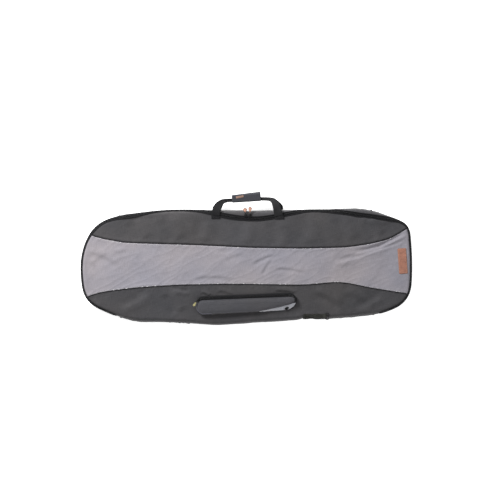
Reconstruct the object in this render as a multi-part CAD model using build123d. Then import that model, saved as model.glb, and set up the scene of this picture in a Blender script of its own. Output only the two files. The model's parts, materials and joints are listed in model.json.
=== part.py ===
"""Padded board bag with a zip-open front, a two-strap carry handle and a front pocket.

The bag lies on its back panel. X runs along its length, +Y towards the handle and the
main zip, +Z out of the front panel. The origin is the centre of the back panel's
underside. All sizes are in millimetres.
"""

from build123d import *
import math
import os

# --- driving dimensions -------------------------------------------------------------
HALF_LENGTH = 733.0
HALF_WIDTH = 252.0
# The outline turns 90 degrees from the long side to the end in four tangent arcs.
# The shoulder and corner radii are chosen; the side and end radii follow from them.
ARC_TURNS = (4.0, 22.0, 56.0, 8.0)
SHOULDER_RADIUS = 350.0
CORNER_RADIUS = 140.0

BACK_TOP = 2.0
BACK_FOAM_TOP = 7.0
BACK_LINING_TOP = 8.0
BULGE_HEIGHT = 52.0
TAPE_BOTTOM = 84.0
GUSSET_TOP = 96.0
LID_LINING_BOTTOM = 98.0
LID_FOAM_BOTTOM = 99.0
LID_BOTTOM = 104.0
LID_TOP = 106.0

GUSSET_THICKNESS = 5.0
BASE_INSET = 12.0
RIM_INSET = 13.2
TAPE_WIDTH = 13.0
TAPE_THICKNESS = 1.2
COIL_WIDTH = 2.3
COIL_HEIGHT = 2.6
CLEARANCE = 0.3
GUSSET_SPLIT_X = 560.0

FOLD_Y = -213.0
FOLD_GAP = 1.0

SEAM_UPPER = (76.0, 62.0)
SEAM_LOWER = (-86.0, -46.0)
SEAM_HALF_LENGTH = 720.0

PATCH_SIZE = (38.0, 112.0, 1.2)
PATCH_X = 684.0

HANDLE_LEFT_X = -125.0
HANDLE_RIGHT_X = 148.0
STRAP_WIDTH = 38.0
STRAP_THICKNESS = 1.6
GRIP_CENTRE = (6.0, 296.0, 55.0)
GRIP_LENGTH = 128.0
GRIP_WIDTH = 38.0
GRIP_DEPTH = 16.0

SLIDER_X = (1.0, 20.0)
SLIDER_Y = 230.0
SLIDER_SIZE = (18.0, 11.0, 2.2)
PULL_LENGTH = 26.0
PULL_WIDTH = 15.0
PULL_SPREAD = 12.0

POCKET_CENTRE = (1.0, -168.0)
POCKET_SIZE = (450.0, 76.0)
POCKET_CORNER = 32.0
POCKET_WALL = 2.5
POCKET_WALL_TOP = 121.0
POCKET_TAPE_WIDTH = 5.0
POCKET_FACE_THICKNESS = 3.0
POCKET_PAD_INSET = 22.0
POCKET_SLIDER_AT = (-213.0, -144.0)
POCKET_PULL_TURN = 232.0

ANCHOR_LENGTH = 96.0
ANCHOR_WIDTH = 22.0
RING_SPAN_X = 13.0
RING_SPAN_Y = 27.0
RING_ROD = 2.0
RING_LIFT = 3.4
ANCHOR_X = 246.0
ANCHOR_Y = -230.0
SIDE_ANCHOR_Z = 27.0

BIG = 2000.0


# --- outline ------------------------------------------------------------------------
def arc_radii():
    """Radii of the four quarter arcs that end exactly at the half length and width."""
    turns = [math.radians(t) for t in ARC_TURNS]
    ends = [sum(turns[: i + 1]) for i in range(4)]
    starts = [0.0] + ends[:3]
    along = [math.sin(e) - math.sin(s) for s, e in zip(starts, ends)]
    across = [math.cos(s) - math.cos(e) for s, e in zip(starts, ends)]
    length = HALF_LENGTH - along[1] * SHOULDER_RADIUS - along[2] * CORNER_RADIUS
    width = HALF_WIDTH - across[1] * SHOULDER_RADIUS - across[2] * CORNER_RADIUS
    scale = along[0] * across[3] - along[3] * across[0]
    side = (length * across[3] - width * along[3]) / scale
    end = (width * along[0] - length * across[0]) / scale
    return [side, SHOULDER_RADIUS, CORNER_RADIUS, end]


def quarter_points(inset):
    """Corner and middle points of the quarter arcs, from (0, half width) to the end."""
    x, y, heading = 0.0, HALF_WIDTH - inset, 0.0
    points = [(x, y)]
    for radius, turn in zip(arc_radii(), ARC_TURNS):
        half = math.radians(turn) / 2
        for _ in range(2):
            turned = heading + half
            x += (radius - inset) * (math.sin(turned) - math.sin(heading))
            y -= (radius - inset) * (math.cos(heading) - math.cos(turned))
            points.append((x, y))
            heading = turned
    return points


def outline_face(inset, z):
    """The bag's plan outline, moved inwards by inset, as a face at height z."""
    quarter = quarter_points(inset)
    side, end = quarter[2], quarter[6]
    inner = quarter[2:7]

    def place(point, sx, sy):
        return (sx * point[0], sy * point[1], z)

    edges = [ThreePointArc(place(side, -1, 1), (0, quarter[0][1], z), place(side, 1, 1))]
    edges += corner_arcs([place(p, 1, 1) for p in inner])
    edges.append(ThreePointArc(place(end, 1, 1), (HALF_LENGTH - inset, 0, z), place(end, 1, -1)))
    edges += corner_arcs([place(p, 1, -1) for p in reversed(inner)])
    edges.append(ThreePointArc(place(side, 1, -1), (0, -quarter[0][1], z), place(side, -1, -1)))
    edges += corner_arcs([place(p, -1, -1) for p in inner])
    edges.append(ThreePointArc(place(end, -1, -1), (inset - HALF_LENGTH, 0, z), place(end, -1, 1)))
    edges += corner_arcs([place(p, -1, 1) for p in reversed(inner)])
    return Face(Wire(edges))


def corner_arcs(points):
    """Two tangent arcs through five points."""
    return [ThreePointArc(*points[0:3]), ThreePointArc(*points[2:5])]


def half_width_at(x, inset):
    """Distance from the X axis to the outline at x, for x on the long side's arc."""
    radius = arc_radii()[0]
    return HALF_WIDTH - inset - (radius - math.sqrt(radius**2 - x**2))


def slab(inset, bottom, top):
    """A flat layer of the outline's shape."""
    return extrude(outline_face(inset, bottom), amount=top - bottom, dir=(0, 0, 1))


def ring(outer_inset, inner_inset, bottom, top):
    """A band that follows the outline."""
    return slab(outer_inset, bottom, top) - slab(inner_inset, bottom, top)


def block(low, high):
    """A box from its lowest to its highest corner."""
    size = [h - l for l, h in zip(low, high)]
    centre = [(h + l) / 2 for l, h in zip(low, high)]
    return Pos(*centre) * Box(*size)


def zip_side(shape):
    """The part of a front layer that lies on the lid's side of the fold."""
    return shape & block((-BIG, FOLD_Y + FOLD_GAP, -BIG), (BIG, BIG, BIG))


def hinge_side(shape):
    """The part of a front layer that stays on the tub beside the fold."""
    return shape & block((-BIG, -BIG, -BIG), (BIG, FOLD_Y - FOLD_GAP, BIG))


# --- tub: back panel and gusset -----------------------------------------------------
def tub_solid(growth):
    """The outside of the gusset as a solid, grown outwards by growth."""
    sections = (
        (BASE_INSET, BACK_TOP),
        (0.0, BULGE_HEIGHT),
        (RIM_INSET, TAPE_BOTTOM),
        (RIM_INSET, GUSSET_TOP),
    )
    return loft([outline_face(inset - growth, z) for inset, z in sections], ruled=True)


def gusset_nodes():
    """The padded side wall in four lengths, joined end to end."""
    wall = tub_solid(0) - tub_solid(-GUSSET_THICKNESS)
    split = GUSSET_SPLIT_X
    return {
        "gusset_top": wall & block((-split, 0, 0), (split, BIG, BIG)),
        "gusset_bottom": wall & block((-split, -BIG, 0), (split, 0, BIG)),
        "gusset_left_end": wall & block((-BIG, -BIG, 0), (-split, BIG, BIG)),
        "gusset_right_end": wall & block((split, -BIG, 0), (BIG, BIG, BIG)),
    }


def back_nodes():
    """The three layers of the back: outer cloth, foam and lining."""
    inner = BASE_INSET + GUSSET_THICKNESS + CLEARANCE
    return {
        "back_panel": slab(BASE_INSET, 0, BACK_TOP),
        "back_foam": slab(inner, BACK_TOP, BACK_FOAM_TOP),
        "back_lining": slab(inner, BACK_FOAM_TOP, BACK_LINING_TOP),
    }


def rim_nodes():
    """The main zip's tub half, the strip beside the fold and the zip-end tabs."""
    tape_inset = RIM_INSET - TAPE_THICKNESS
    tape_top = LID_BOTTOM - CLEARANCE
    coil_inset = RIM_INSET + COIL_WIDTH
    wall = ring(tape_inset, RIM_INSET + GUSSET_THICKNESS, GUSSET_TOP, LID_BOTTOM)
    strip = slab(tape_inset, LID_BOTTOM, LID_TOP)
    tab = ring(tape_inset - 1.4, tape_inset, TAPE_BOTTOM, tape_top)
    return {
        "gusset_zip_tape": zip_side(ring(tape_inset, RIM_INSET, TAPE_BOTTOM, tape_top)),
        "gusset_zip_coil": zip_side(ring(RIM_INSET, coil_inset, 99.0, 99.0 + COIL_HEIGHT)),
        "front_margin": hinge_side(wall + strip),
        "zip_end_tab_left": tab & block((-604, -BIG, 0), (-566, 0, BIG)),
        "zip_end_tab_right": tab & block((566, -BIG, 0), (604, 0, BIG)),
    }


# --- lid: the front panel -----------------------------------------------------------
def seam_y(x, seam):
    """Height of a front seam, which flares towards the bag's ends."""
    middle, flare = seam
    return middle + flare * abs(x / SEAM_HALF_LENGTH) ** 3


def above_seam(seam):
    """A tall solid that covers everything on the +Y side of a seam."""
    reach = 760.0
    xs = [reach * (i - 4) / 4 for i in range(9)]
    curve = Spline(*[(x, seam_y(x, seam), 0) for x in xs])
    start, end = curve @ 0, curve @ 1
    far = Polyline(end, (reach, 500, 0), (-reach, 500, 0), start)
    return extrude(Face(Wire([curve, *far.edges()])), amount=BIG, dir=(0, 0, 1))


def front_nodes():
    """Three cloth panels, foam and lining of the front, with the lid's zip half."""
    panel_inset = RIM_INSET - TAPE_THICKNESS + TAPE_WIDTH
    panel = zip_side(slab(panel_inset, LID_BOTTOM, LID_TOP))
    upper, not_lower = above_seam(SEAM_UPPER), above_seam(SEAM_LOWER)
    coil_outer = RIM_INSET + COIL_WIDTH + CLEARANCE
    coil_inner = coil_outer + COIL_WIDTH
    inner = panel_inset + 1
    nodes = {
        "front_upper_panel": panel & upper,
        "front_center_panel": (panel & not_lower) - upper,
        "front_lower_panel": panel - not_lower,
        "lid_foam": slab(inner, LID_FOAM_BOTTOM, LID_BOTTOM),
        "lid_lining": slab(inner, LID_LINING_BOTTOM, LID_FOAM_BOTTOM),
        "lid_zip_tape": ring(
            RIM_INSET - TAPE_THICKNESS, panel_inset, LID_BOTTOM, LID_BOTTOM + TAPE_THICKNESS
        ),
        "lid_zip_coil": ring(coil_outer, coil_inner, LID_BOTTOM - COIL_HEIGHT, LID_BOTTOM),
    }
    for name in ("lid_foam", "lid_lining", "lid_zip_tape", "lid_zip_coil"):
        nodes[name] = zip_side(nodes[name])
    nodes["end_patch"] = Pos(PATCH_X, 0, LID_TOP + PATCH_SIZE[2] / 2) * Box(*PATCH_SIZE)
    return nodes


# --- main zip sliders and pulls -----------------------------------------------------
def slider_body(x):
    """A slider's top plate with the bridge that its pull hangs from."""
    length, width, height = SLIDER_SIZE
    bottom = LID_TOP + CLEARANCE
    plate = Pos(x, SLIDER_Y, bottom + height / 2) * Box(length, width, height)
    plate = fillet(plate.edges().filter_by(Axis.Z), 3.0)
    lug = Pos(x, SLIDER_Y, bottom + height + 1.8) * Box(3.0, 7.0, 3.6)
    return plate + lug - pivot_hole(x)


def pull_height():
    """Height of the pivot that each pull turns on."""
    return LID_TOP + CLEARANCE + SLIDER_SIZE[2] + 2.0


def pivot_hole(x):
    """Cross hole through a slider's bridge."""
    return Pos(x, SLIDER_Y, pull_height()) * Rot(0, 90, 0) * Cylinder(1.3, 20)


def pull_bail(x):
    """Wire eye that passes through the bridge and carries the pull."""
    pivot = Pos(x, SLIDER_Y, pull_height())
    pin = Rot(0, 90, 0) * Cylinder(1.0, 7.0)
    arms = [Pos(side * 3.0, 3.0, 0) * Box(1.6, 8.0, 2.0) for side in (-1, 1)]
    return pivot * (pin + arms[0] + arms[1] + Pos(0, 7.6, 0) * Box(7.6, 1.8, 2.0))


def pull_tab(x, lean):
    """Teardrop pull that starts at the bail and widens to a round end."""
    tip = PULL_LENGTH - PULL_WIDTH / 2
    round_end = Pos(0, tip, 0) * Cylinder(PULL_WIDTH / 2, 2.4)
    profile = Polyline((-3, 0, 0), (-7.2, tip - 2, 0), (7.2, tip - 2, 0), (3, 0, 0), close=True)
    neck = Pos(0, 0, -1.2) * extrude(make_face(profile), amount=2.4, dir=(0, 0, 1))
    return Pos(x, SLIDER_Y + 8.6, pull_height()) * Rot(0, 0, lean) * (round_end + neck)


def slider_nodes():
    """Both sliders, nose to nose at the middle of the main zip."""
    nodes = {}
    for side, x, lean in zip(("left", "right"), SLIDER_X, (PULL_SPREAD, -PULL_SPREAD)):
        nodes[f"slider_{side}"] = slider_body(x)
        nodes[f"pull_bail_{side}"] = pull_bail(x)
        tab = pull_tab(x, lean)
        nodes[f"pull_tab_{side}"] = tab - pull_bail(x)
    return nodes


# --- carry handle -------------------------------------------------------------------
def ribbon(stations):
    """A strap through stations of (centre, width direction, normal, width, thickness)."""
    faces = []
    for centre, width_way, path_way, width, thickness in stations:
        plane = Plane(origin=centre, x_dir=width_way, z_dir=path_way)
        faces.append(plane * Rectangle(width, thickness))
    return loft([f.face() for f in faces], ruled=True)


def handle_leg(path, side, end_z):
    """A strap along path from its foot, then slimmer and in to the grip's end."""
    grip_end = GRIP_CENTRE[0] + side * (GRIP_LENGTH / 2 + 0.5)
    slim = STRAP_WIDTH * 0.55
    turn_z = (path[-1][2] + end_z) / 2
    turn = (grip_end + side * 26, GRIP_CENTRE[1] - 8, turn_z)
    stations = [(p, (1, 0, 0), (0, 1, 0), STRAP_WIDTH, STRAP_THICKNESS) for p in path]
    stations.append((turn, (1, side, 0), (-side, 1, 0), slim, 3.0))
    end = (grip_end, GRIP_CENTRE[1], end_z)
    stations.append((end, (0, side, 0), (-side, 0, 0), slim, 3.0))
    return ribbon(stations)


def front_handle_nodes():
    """Front strap: feet on the lid, two legs and the length inside the grip."""
    nodes = {}
    feet = []
    edge = 224.0
    widths = (STRAP_WIDTH, STRAP_WIDTH + 12)
    for x, width in zip((HANDLE_LEFT_X, HANDLE_RIGHT_X), widths):
        low = (x - width / 2, edge - 22, LID_TOP)
        high = (x + width / 2, edge, LID_TOP + STRAP_THICKNESS)
        feet.append(block(low, high))
    nodes["front_handle_feet"] = Compound(children=feet)
    for name, x, side in (("left", HANDLE_LEFT_X, -1), ("right", HANDLE_RIGHT_X, 1)):
        foot = (x, edge, LID_TOP + STRAP_THICKNESS / 2)
        crest = (x, edge + 12, LID_TOP + 3)
        shoulder = (x, edge + 28, LID_TOP + 1)
        path = (foot, crest, shoulder)
        nodes[f"front_strap_{name}_leg"] = handle_leg(path, side, GRIP_CENTRE[2] + 2.2)
    return nodes


def back_handle_nodes():
    """Back strap: feet low on the gusset, two legs and the length inside the grip."""
    nodes = {}
    skin = tub_solid(STRAP_THICKNESS) - tub_solid(0)
    feet = []
    for x in (HANDLE_LEFT_X, HANDLE_RIGHT_X):
        half = STRAP_WIDTH / 2
        feet.append(skin & block((x - half, 0, 4), (x + half, BIG, 26)))
    nodes["back_handle_feet"] = Compound(children=[f.solid() for f in feet])
    for name, x, side in (("left", HANDLE_LEFT_X, -1), ("right", HANDLE_RIGHT_X, 1)):
        foot = (x, HALF_WIDTH - 6.0, 14.0)
        shoulder = (x, HALF_WIDTH + 12, 17.0)
        path = (foot, shoulder)
        nodes[f"back_strap_{name}_leg"] = handle_leg(path, side, GRIP_CENTRE[2] - 2.2)
    return nodes


def grip_slab(x_margin, y_low, y_high, z_low, z_high):
    """A flat piece of the grip, placed from the grip's centre."""
    x, y, z = GRIP_CENTRE
    half = GRIP_LENGTH / 2 - x_margin
    return block((x - half, y + y_low, z + z_low), (x + half, y + y_high, z + z_high))


def grip_nodes():
    """Padded wrap round both straps, with a hook-and-loop flap along its top."""
    x, y, z = GRIP_CENTRE
    half_width, half_depth = GRIP_WIDTH / 2, GRIP_DEPTH / 2
    outer = Pos(x, y, z) * Box(GRIP_LENGTH, GRIP_WIDTH, GRIP_DEPTH)
    outer = fillet(outer.edges().filter_by(Axis.X), 6.0)
    bore = Pos(x, y, z) * Box(GRIP_LENGTH + 2, GRIP_WIDTH - 6, GRIP_DEPTH - 7)
    top = half_depth
    label = block((x - 46, y + 3, z + top + 3.5), (x - 12, y + 12, z + top + 4.1))
    return {
        "grip_pad": outer - bore,
        "front_strap_core": grip_slab(0, -10.5, 10.5, 1.0, 3.4),
        "back_strap_core": grip_slab(0, -10.5, 10.5, -3.4, -1.0),
        "grip_hook_strip": grip_slab(8, -12.5, 8, top, top + 0.8),
        "grip_loop_strip": grip_slab(8, -12.5, 8, top + 1.1, top + 1.9),
        "grip_flap": grip_slab(0, -14.5, half_width - 1, top + 1.9, top + 3.5),
        "grip_label": label,
    }


# --- front pocket -------------------------------------------------------------------
def pocket_slab(inset, bottom, top):
    """A layer of the pocket's plan shape, moved inwards by inset."""
    sketch = RectangleRounded(
        POCKET_SIZE[0] - 2 * inset, POCKET_SIZE[1] - 2 * inset, POCKET_CORNER - inset
    )
    plane = Plane(origin=(*POCKET_CENTRE, bottom))
    return extrude(plane * sketch, amount=top - bottom, dir=(0, 0, 1))


def pocket_ring(outer, inner, bottom, top):
    """A band of the pocket's shape along its top and ends, open along its lower edge."""
    band = pocket_slab(outer, bottom, top) - pocket_slab(inner, bottom, top)
    low = POCKET_CENTRE[1] - POCKET_SIZE[1] / 2 + 16
    return band & block((-BIG, low, 0), (BIG, 0, BIG))


def pocket_nodes():
    """Side wall, both zip halves, padded flap, slider with pull, and drain eyelet."""
    low = POCKET_CENTRE[1] - POCKET_SIZE[1] / 2
    wall_top = POCKET_WALL_TOP
    flap_z = wall_top + CLEARANCE
    tape = POCKET_TAPE_WIDTH
    inner = tape + CLEARANCE
    face = pocket_slab(2 * tape, flap_z, flap_z + TAPE_THICKNESS)
    face += pocket_slab(POCKET_PAD_INSET, flap_z, flap_z + POCKET_FACE_THICKNESS)
    left, right = POCKET_CENTRE[0] - 200, POCKET_CENTRE[0] + 200
    hem = block((left, low + 2, flap_z), (right, low + 24, flap_z + POCKET_FACE_THICKNESS))
    eyelet_at = Pos(POCKET_CENTRE[0] + 184, low - 0.5, LID_TOP + 8) * Rot(90, 0, 0)
    wall = pocket_slab(0, LID_TOP, wall_top) - pocket_slab(POCKET_WALL, LID_TOP, wall_top)
    barrel = eyelet_at * Pos(0, 0, -1.5) * Cylinder(3.6, 5)
    eyelet = eyelet_at * (Cylinder(6, 1.0) + Pos(0, 0, -1.75) * Cylinder(3.6, 2.5) - Cylinder(2.6, 12))
    return {
        "pocket_gusset": wall - barrel,
        "pocket_eyelet": eyelet,
        "pocket_zip_tape_outer": pocket_ring(0, tape, wall_top, wall_top + 1.2),
        "pocket_zip_coil_outer": pocket_ring(tape - 1.5, tape, wall_top - 1.5, wall_top),
        "pocket_zip_tape_inner": pocket_ring(inner, 2 * tape, flap_z, flap_z + 1.2),
        "pocket_zip_coil_inner": pocket_ring(inner, inner + 1.5, flap_z - 1.5, flap_z),
        "pocket_face": face + hem,
    }


def pocket_slider_nodes():
    """The pocket's single slider on the corner of the zip, its pull lying along the zip."""
    bottom = POCKET_WALL_TOP + CLEARANCE + TAPE_THICKNESS + CLEARANCE
    turned = Pos(*POCKET_SLIDER_AT, bottom) * Rot(0, 0, POCKET_PULL_TURN)
    pivot = turned * Pos(0, 0, 3.4)
    plate = turned * Pos(0, 0, 0.9) * Box(13, 7.4, 1.8)
    lug = turned * Pos(0, 0, 3.4) * Box(5.0, 2.4, 3.8)
    hole = pivot * Rot(90, 0, 0) * Cylinder(1.1, 10)
    bail = pivot * (
        Rot(90, 0, 0) * Cylinder(0.8, 5.6)
        + Pos(3.4, 2.4, 0) * Box(7.6, 1.2, 1.6)
        + Pos(3.4, -2.4, 0) * Box(7.6, 1.2, 1.6)
        + Pos(7.6, 0, 0) * Box(1.4, 6.0, 1.6)
    )
    outline = Polyline((0, -2.4, 0), (17, -4.5, 0), (19, 0, 0), (17, 4.5, 0), (0, 2.4, 0), close=True)
    tab = pivot * Pos(8.3, 0, 0) * extrude(make_face(outline), amount=0.9, dir=(0, 0, 1), both=True)
    return {
        "pocket_slider": plate + lug - hole,
        "pocket_pull_bail": bail,
        "pocket_pull_tab": tab - bail,
    }


# --- shoulder-strap anchors ---------------------------------------------------------
def anchor_tab():
    """Folded webbing with a loop at its end, lying on the local XY plane."""
    sewn = block((0, -ANCHOR_WIDTH / 2, -1.0), (ANCHOR_LENGTH, ANCHOR_WIDTH / 2, 2.0))
    outer = Pos(ANCHOR_LENGTH + 3, 0, RING_LIFT) * Rot(90, 0, 0) * Cylinder(RING_ROD + 1.4, ANCHOR_WIDTH)
    neck = block(
        (ANCHOR_LENGTH - 6, -ANCHOR_WIDTH / 2, 0), (ANCHOR_LENGTH + 3, ANCHOR_WIDTH / 2, RING_LIFT + 1.4)
    )
    hole = Pos(ANCHOR_LENGTH + 3, 0, RING_LIFT) * Rot(90, 0, 0) * Cylinder(RING_ROD + 0.4, BIG)
    return sewn + outer + neck - hole


def anchor_ring():
    """Rectangular ring of round rod that turns in the webbing loop."""
    x, half = ANCHOR_LENGTH + 3, RING_SPAN_Y / 2
    along = Rot(90, 0, 0) * Cylinder(RING_ROD, RING_SPAN_Y + 2 * RING_ROD)
    across = Rot(0, 90, 0) * Cylinder(RING_ROD, RING_SPAN_X)
    rods = Pos(x, 0, RING_LIFT) * along
    rods += Pos(x + RING_SPAN_X, 0, RING_LIFT) * along
    for side in (-1, 1):
        rods += Pos(x + RING_SPAN_X / 2, side * half, RING_LIFT) * across
    return rods


def side_anchor_plane():
    """Plane on the hinge-side gusset, below its widest line, for the left anchor."""
    x = -(ANCHOR_X + ANCHOR_LENGTH / 2)
    share = (SIDE_ANCHOR_Z - BACK_TOP) / (BULGE_HEIGHT - BACK_TOP)
    inset = BASE_INSET * (1 - share)
    plan = math.asin(-x / (arc_radii()[0] - inset))
    tilt = math.atan2(BASE_INSET, BULGE_HEIGHT - BACK_TOP)
    along = Vector(-math.cos(plan), math.sin(plan), 0)
    outward = Vector(-math.sin(plan), -math.cos(plan), 0)
    normal = outward * math.cos(tilt) + Vector(0, 0, -math.sin(tilt))
    middle = Vector(x, -half_width_at(x, inset), SIDE_ANCHOR_Z)
    return Plane(origin=middle - along * (ANCHOR_LENGTH / 2), x_dir=along, z_dir=normal)


def anchor_nodes():
    """Right anchor on the strip beside the fold, left anchor low on the gusset."""
    right = Plane(origin=(ANCHOR_X, ANCHOR_Y, LID_TOP), x_dir=(1, 0, 0), z_dir=(0, 0, 1))
    left = side_anchor_plane()
    above = block((-BIG, -BIG, LID_TOP), (BIG, BIG, BIG))
    pivot = left.from_local_coords(Vector(ANCHOR_LENGTH + 3, 0, RING_LIFT))
    print("left anchor hinge:", pivot, left.y_dir)
    return {
        "strap_tab_right": (right.location * anchor_tab()) & above,
        "strap_ring_right": right.location * anchor_ring(),
        "strap_tab_left": (left.location * anchor_tab()) - tub_solid(0),
        "strap_ring_left": left.location * anchor_ring(),
    }


# --- all nodes ----------------------------------------------------------------------
def all_nodes():
    """Every separate piece of the bag, by name."""
    nodes = {}
    for group in (
        back_nodes,
        gusset_nodes,
        rim_nodes,
        front_nodes,
        slider_nodes,
        front_handle_nodes,
        back_handle_nodes,
        grip_nodes,
        pocket_nodes,
        pocket_slider_nodes,
        anchor_nodes,
    ):
        nodes.update(group())
    return nodes


os.makedirs("parts", exist_ok=True)
for node, shape in all_nodes().items():
    export_step(shape, f"parts/{node}.step")
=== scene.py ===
"""Looks of the padded board bag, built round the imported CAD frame.

Everything is in metres in the row frame: the bag lies on its back, X along its length, +Y towards
the carry handle and the main zip, +Z out of the front panel.
"""

import bmesh
import bpy
import json
import math
import random
import numpy as np
from mathutils import Matrix, Vector, kdtree, noise


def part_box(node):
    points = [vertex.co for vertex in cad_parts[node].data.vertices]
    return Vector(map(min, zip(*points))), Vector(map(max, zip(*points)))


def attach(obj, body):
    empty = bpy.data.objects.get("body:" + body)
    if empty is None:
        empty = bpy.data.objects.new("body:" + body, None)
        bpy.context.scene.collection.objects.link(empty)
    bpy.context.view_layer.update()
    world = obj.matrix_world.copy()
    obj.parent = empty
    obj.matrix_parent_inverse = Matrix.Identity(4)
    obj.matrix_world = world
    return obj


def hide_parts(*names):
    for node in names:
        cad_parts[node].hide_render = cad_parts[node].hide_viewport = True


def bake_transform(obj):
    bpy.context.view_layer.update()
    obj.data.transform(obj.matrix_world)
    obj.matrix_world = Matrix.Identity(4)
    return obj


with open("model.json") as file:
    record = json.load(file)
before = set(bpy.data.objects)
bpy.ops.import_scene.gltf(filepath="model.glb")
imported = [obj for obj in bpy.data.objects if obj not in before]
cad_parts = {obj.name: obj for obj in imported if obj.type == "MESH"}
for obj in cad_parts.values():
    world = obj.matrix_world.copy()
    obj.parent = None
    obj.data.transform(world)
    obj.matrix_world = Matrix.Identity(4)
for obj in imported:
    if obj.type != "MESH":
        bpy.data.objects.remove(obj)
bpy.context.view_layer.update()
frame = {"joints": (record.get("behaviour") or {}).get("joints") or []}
JOINTS = {joint["name"]: joint for joint in frame["joints"]}

# --- sizes --------------------------------------------------------------------------
HALF_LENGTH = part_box("gusset_right_end")[1].x
BASE_INSET = HALF_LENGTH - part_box("back_panel")[1].x
FRONT_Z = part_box("front_center_panel")[1].z
BULGE_Z = 0.052
BASE_Z = 0.003
EDGE_Z = FRONT_Z - 0.003
CROWN = 0.007
SHOULDER = 0.024
SHOULDER_POWER = 2.5
WALL = 0.005
ZIP_END_X = 0.585
BAND_WIDTH = 0.0150
TOOTH_PITCH = 0.0034
MERGE = 0.00004

# Half width, turn of each of four tangent arcs in degrees, shoulder radius and corner radius of each quarter.
UPPER_RIGHT = (0.249, (3, 26, 56, 5), 0.45, 0.06)
UPPER_LEFT = (0.249, (3, 18, 40, 29), 0.45, 0.14)
LOWER_RIGHT = (0.255, (5, 20, 60, 5), 0.35, 0.12)
LOWER_LEFT = (0.258, (5, 22, 56, 7), 0.60, 0.12)
# Swells and dips of the sides: x, side, amount outwards, width.
SWELLS = (
    (-0.38, 1, 0.005, 0.12),
    (0.08, 1, -0.006, 0.15),
    (0.262, -1, -0.009, 0.03),
    (0.20, -1, -0.004, 0.09),
    (-0.27, 1, 0.005, 0.16),
    (-0.46, 1, 0.003, 0.08),
    (-0.60, 1, 0.006, 0.07),
    (0.50, 1, 0.008, 0.11),
    (-0.50, -1, 0.006, 0.08),
    (-0.14, -1, 0.006, 0.08),
)
# Distance from the outline to the zip along the handle side, from left to right.
ZIP_INSETS = (
    (-0.70, 0.014), (-0.60, 0.016), (-0.50, 0.019), (-0.43, 0.011), (-0.36, 0.006), (-0.28, 0.006),
    (-0.20, 0.012), (-0.154, 0.020), (-0.08, 0.036), (0.005, 0.046), (0.07, 0.046), (0.167, 0.031),
    (0.224, 0.020), (0.281, 0.011), (0.355, 0.014), (0.434, 0.027), (0.512, 0.041), (0.591, 0.036),
    (0.631, 0.027), (0.682, 0.010), (0.70, 0.008),
)
END_INSET = 0.0098
HINGE_INSET = 0.0035

# Height of the two front seams at chosen x.
UPPER_SEAM = (
    (-0.74, 0.172), (-0.68, 0.148), (-0.645, 0.134), (-0.535, 0.112), (-0.38, 0.104), (-0.20, 0.095),
    (0.02, 0.080), (0.24, 0.072), (0.44, 0.073), (0.545, 0.086), (0.634, 0.106), (0.71, 0.150), (0.74, 0.170),
)
LOWER_SEAM = (
    (-0.74, -0.142), (-0.707, -0.126), (-0.645, -0.107), (-0.535, -0.094), (-0.425, -0.086),
    (-0.29, -0.081), (-0.10, -0.081), (0.06, -0.085), (0.24, -0.092), (0.325, -0.087), (0.39, -0.081),
    (0.457, -0.089), (0.545, -0.110), (0.634, -0.126), (0.704, -0.137), (0.74, -0.148),
)


# --- outline ------------------------------------------------------------------------
def quarter(width, turns, shoulder, corner):
    """Points of four tangent arcs from (0, width) to (half length, 0)."""
    turns = [math.radians(t) for t in turns]
    ends = np.cumsum(turns)
    starts = ends - turns
    along = np.sin(ends) - np.sin(starts)
    across = np.cos(starts) - np.cos(ends)
    length_left = HALF_LENGTH - along[1] * shoulder - along[2] * corner
    width_left = width - across[1] * shoulder - across[2] * corner
    scale = along[0] * across[3] - along[3] * across[0]
    side = (length_left * across[3] - width_left * along[3]) / scale
    end = (width_left * along[0] - length_left * across[0]) / scale
    x, y, points = 0.0, width, []
    for radius, a, b in zip((side, shoulder, corner, end), starts, ends):
        heading = np.linspace(a, b, 80)
        arc_x = x + radius * (np.sin(heading) - math.sin(a))
        arc_y = y - radius * (math.cos(a) - np.cos(heading))
        points.append(np.stack([arc_x, arc_y], 1)[:-1])
        x, y = arc_x[-1], arc_y[-1]
    points.append(np.array([[x, y]]))
    return np.concatenate(points)


def blur(values, spread):
    """Gaussian average round a closed loop, spread in samples."""
    reach = int(spread * 3) + 1
    weights = np.exp(-((np.arange(-reach, reach + 1) / spread) ** 2) / 2)
    weights /= weights.sum()
    result = np.zeros_like(values)
    for shift, weight in zip(range(-reach, reach + 1), weights):
        result += weight * np.roll(values, shift, axis=0)
    return result


def outward(loop):
    """Unit outward normals of a clockwise closed loop."""
    along = np.roll(loop, -1, axis=0) - np.roll(loop, 1, axis=0)
    along /= np.linalg.norm(along, axis=1)[:, None]
    return np.stack([-along[:, 1], along[:, 0]], 1)


def resample(points, count):
    """Points spaced evenly by arc length round a closed line."""
    line = np.concatenate([points, points[:1]])
    steps = np.linalg.norm(np.diff(line, axis=0), axis=1)
    walked = np.concatenate([[0], np.cumsum(steps)])
    wanted = np.linspace(0, walked[-1], count + 1)[:-1]
    return np.stack([np.interp(wanted, walked, line[:, k]) for k in range(line.shape[1])], 1)


def outline(count):
    """The bag's widest line seen from the front, clockwise from the middle of the handle side."""
    upper_right = quarter(*UPPER_RIGHT)
    lower_right = quarter(*LOWER_RIGHT)[::-1] * (1, -1)
    lower_left = quarter(*LOWER_LEFT) * (-1, -1)
    upper_left = quarter(*UPPER_LEFT)[::-1] * (-1, 1)
    loop = np.concatenate([upper_right[:-1], lower_right[:-1], lower_left[:-1], upper_left[:-1]])
    loop = resample(loop, count)
    loop = blur(loop, count * 0.004)
    normals = outward(loop)
    push = np.zeros(count)
    for x, side, amount, width in SWELLS:
        push += amount * np.exp(-(((loop[:, 0] - x) / width) ** 2)) * (loop[:, 1] * side > 0)
    return loop + normals * push[:, None]


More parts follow.
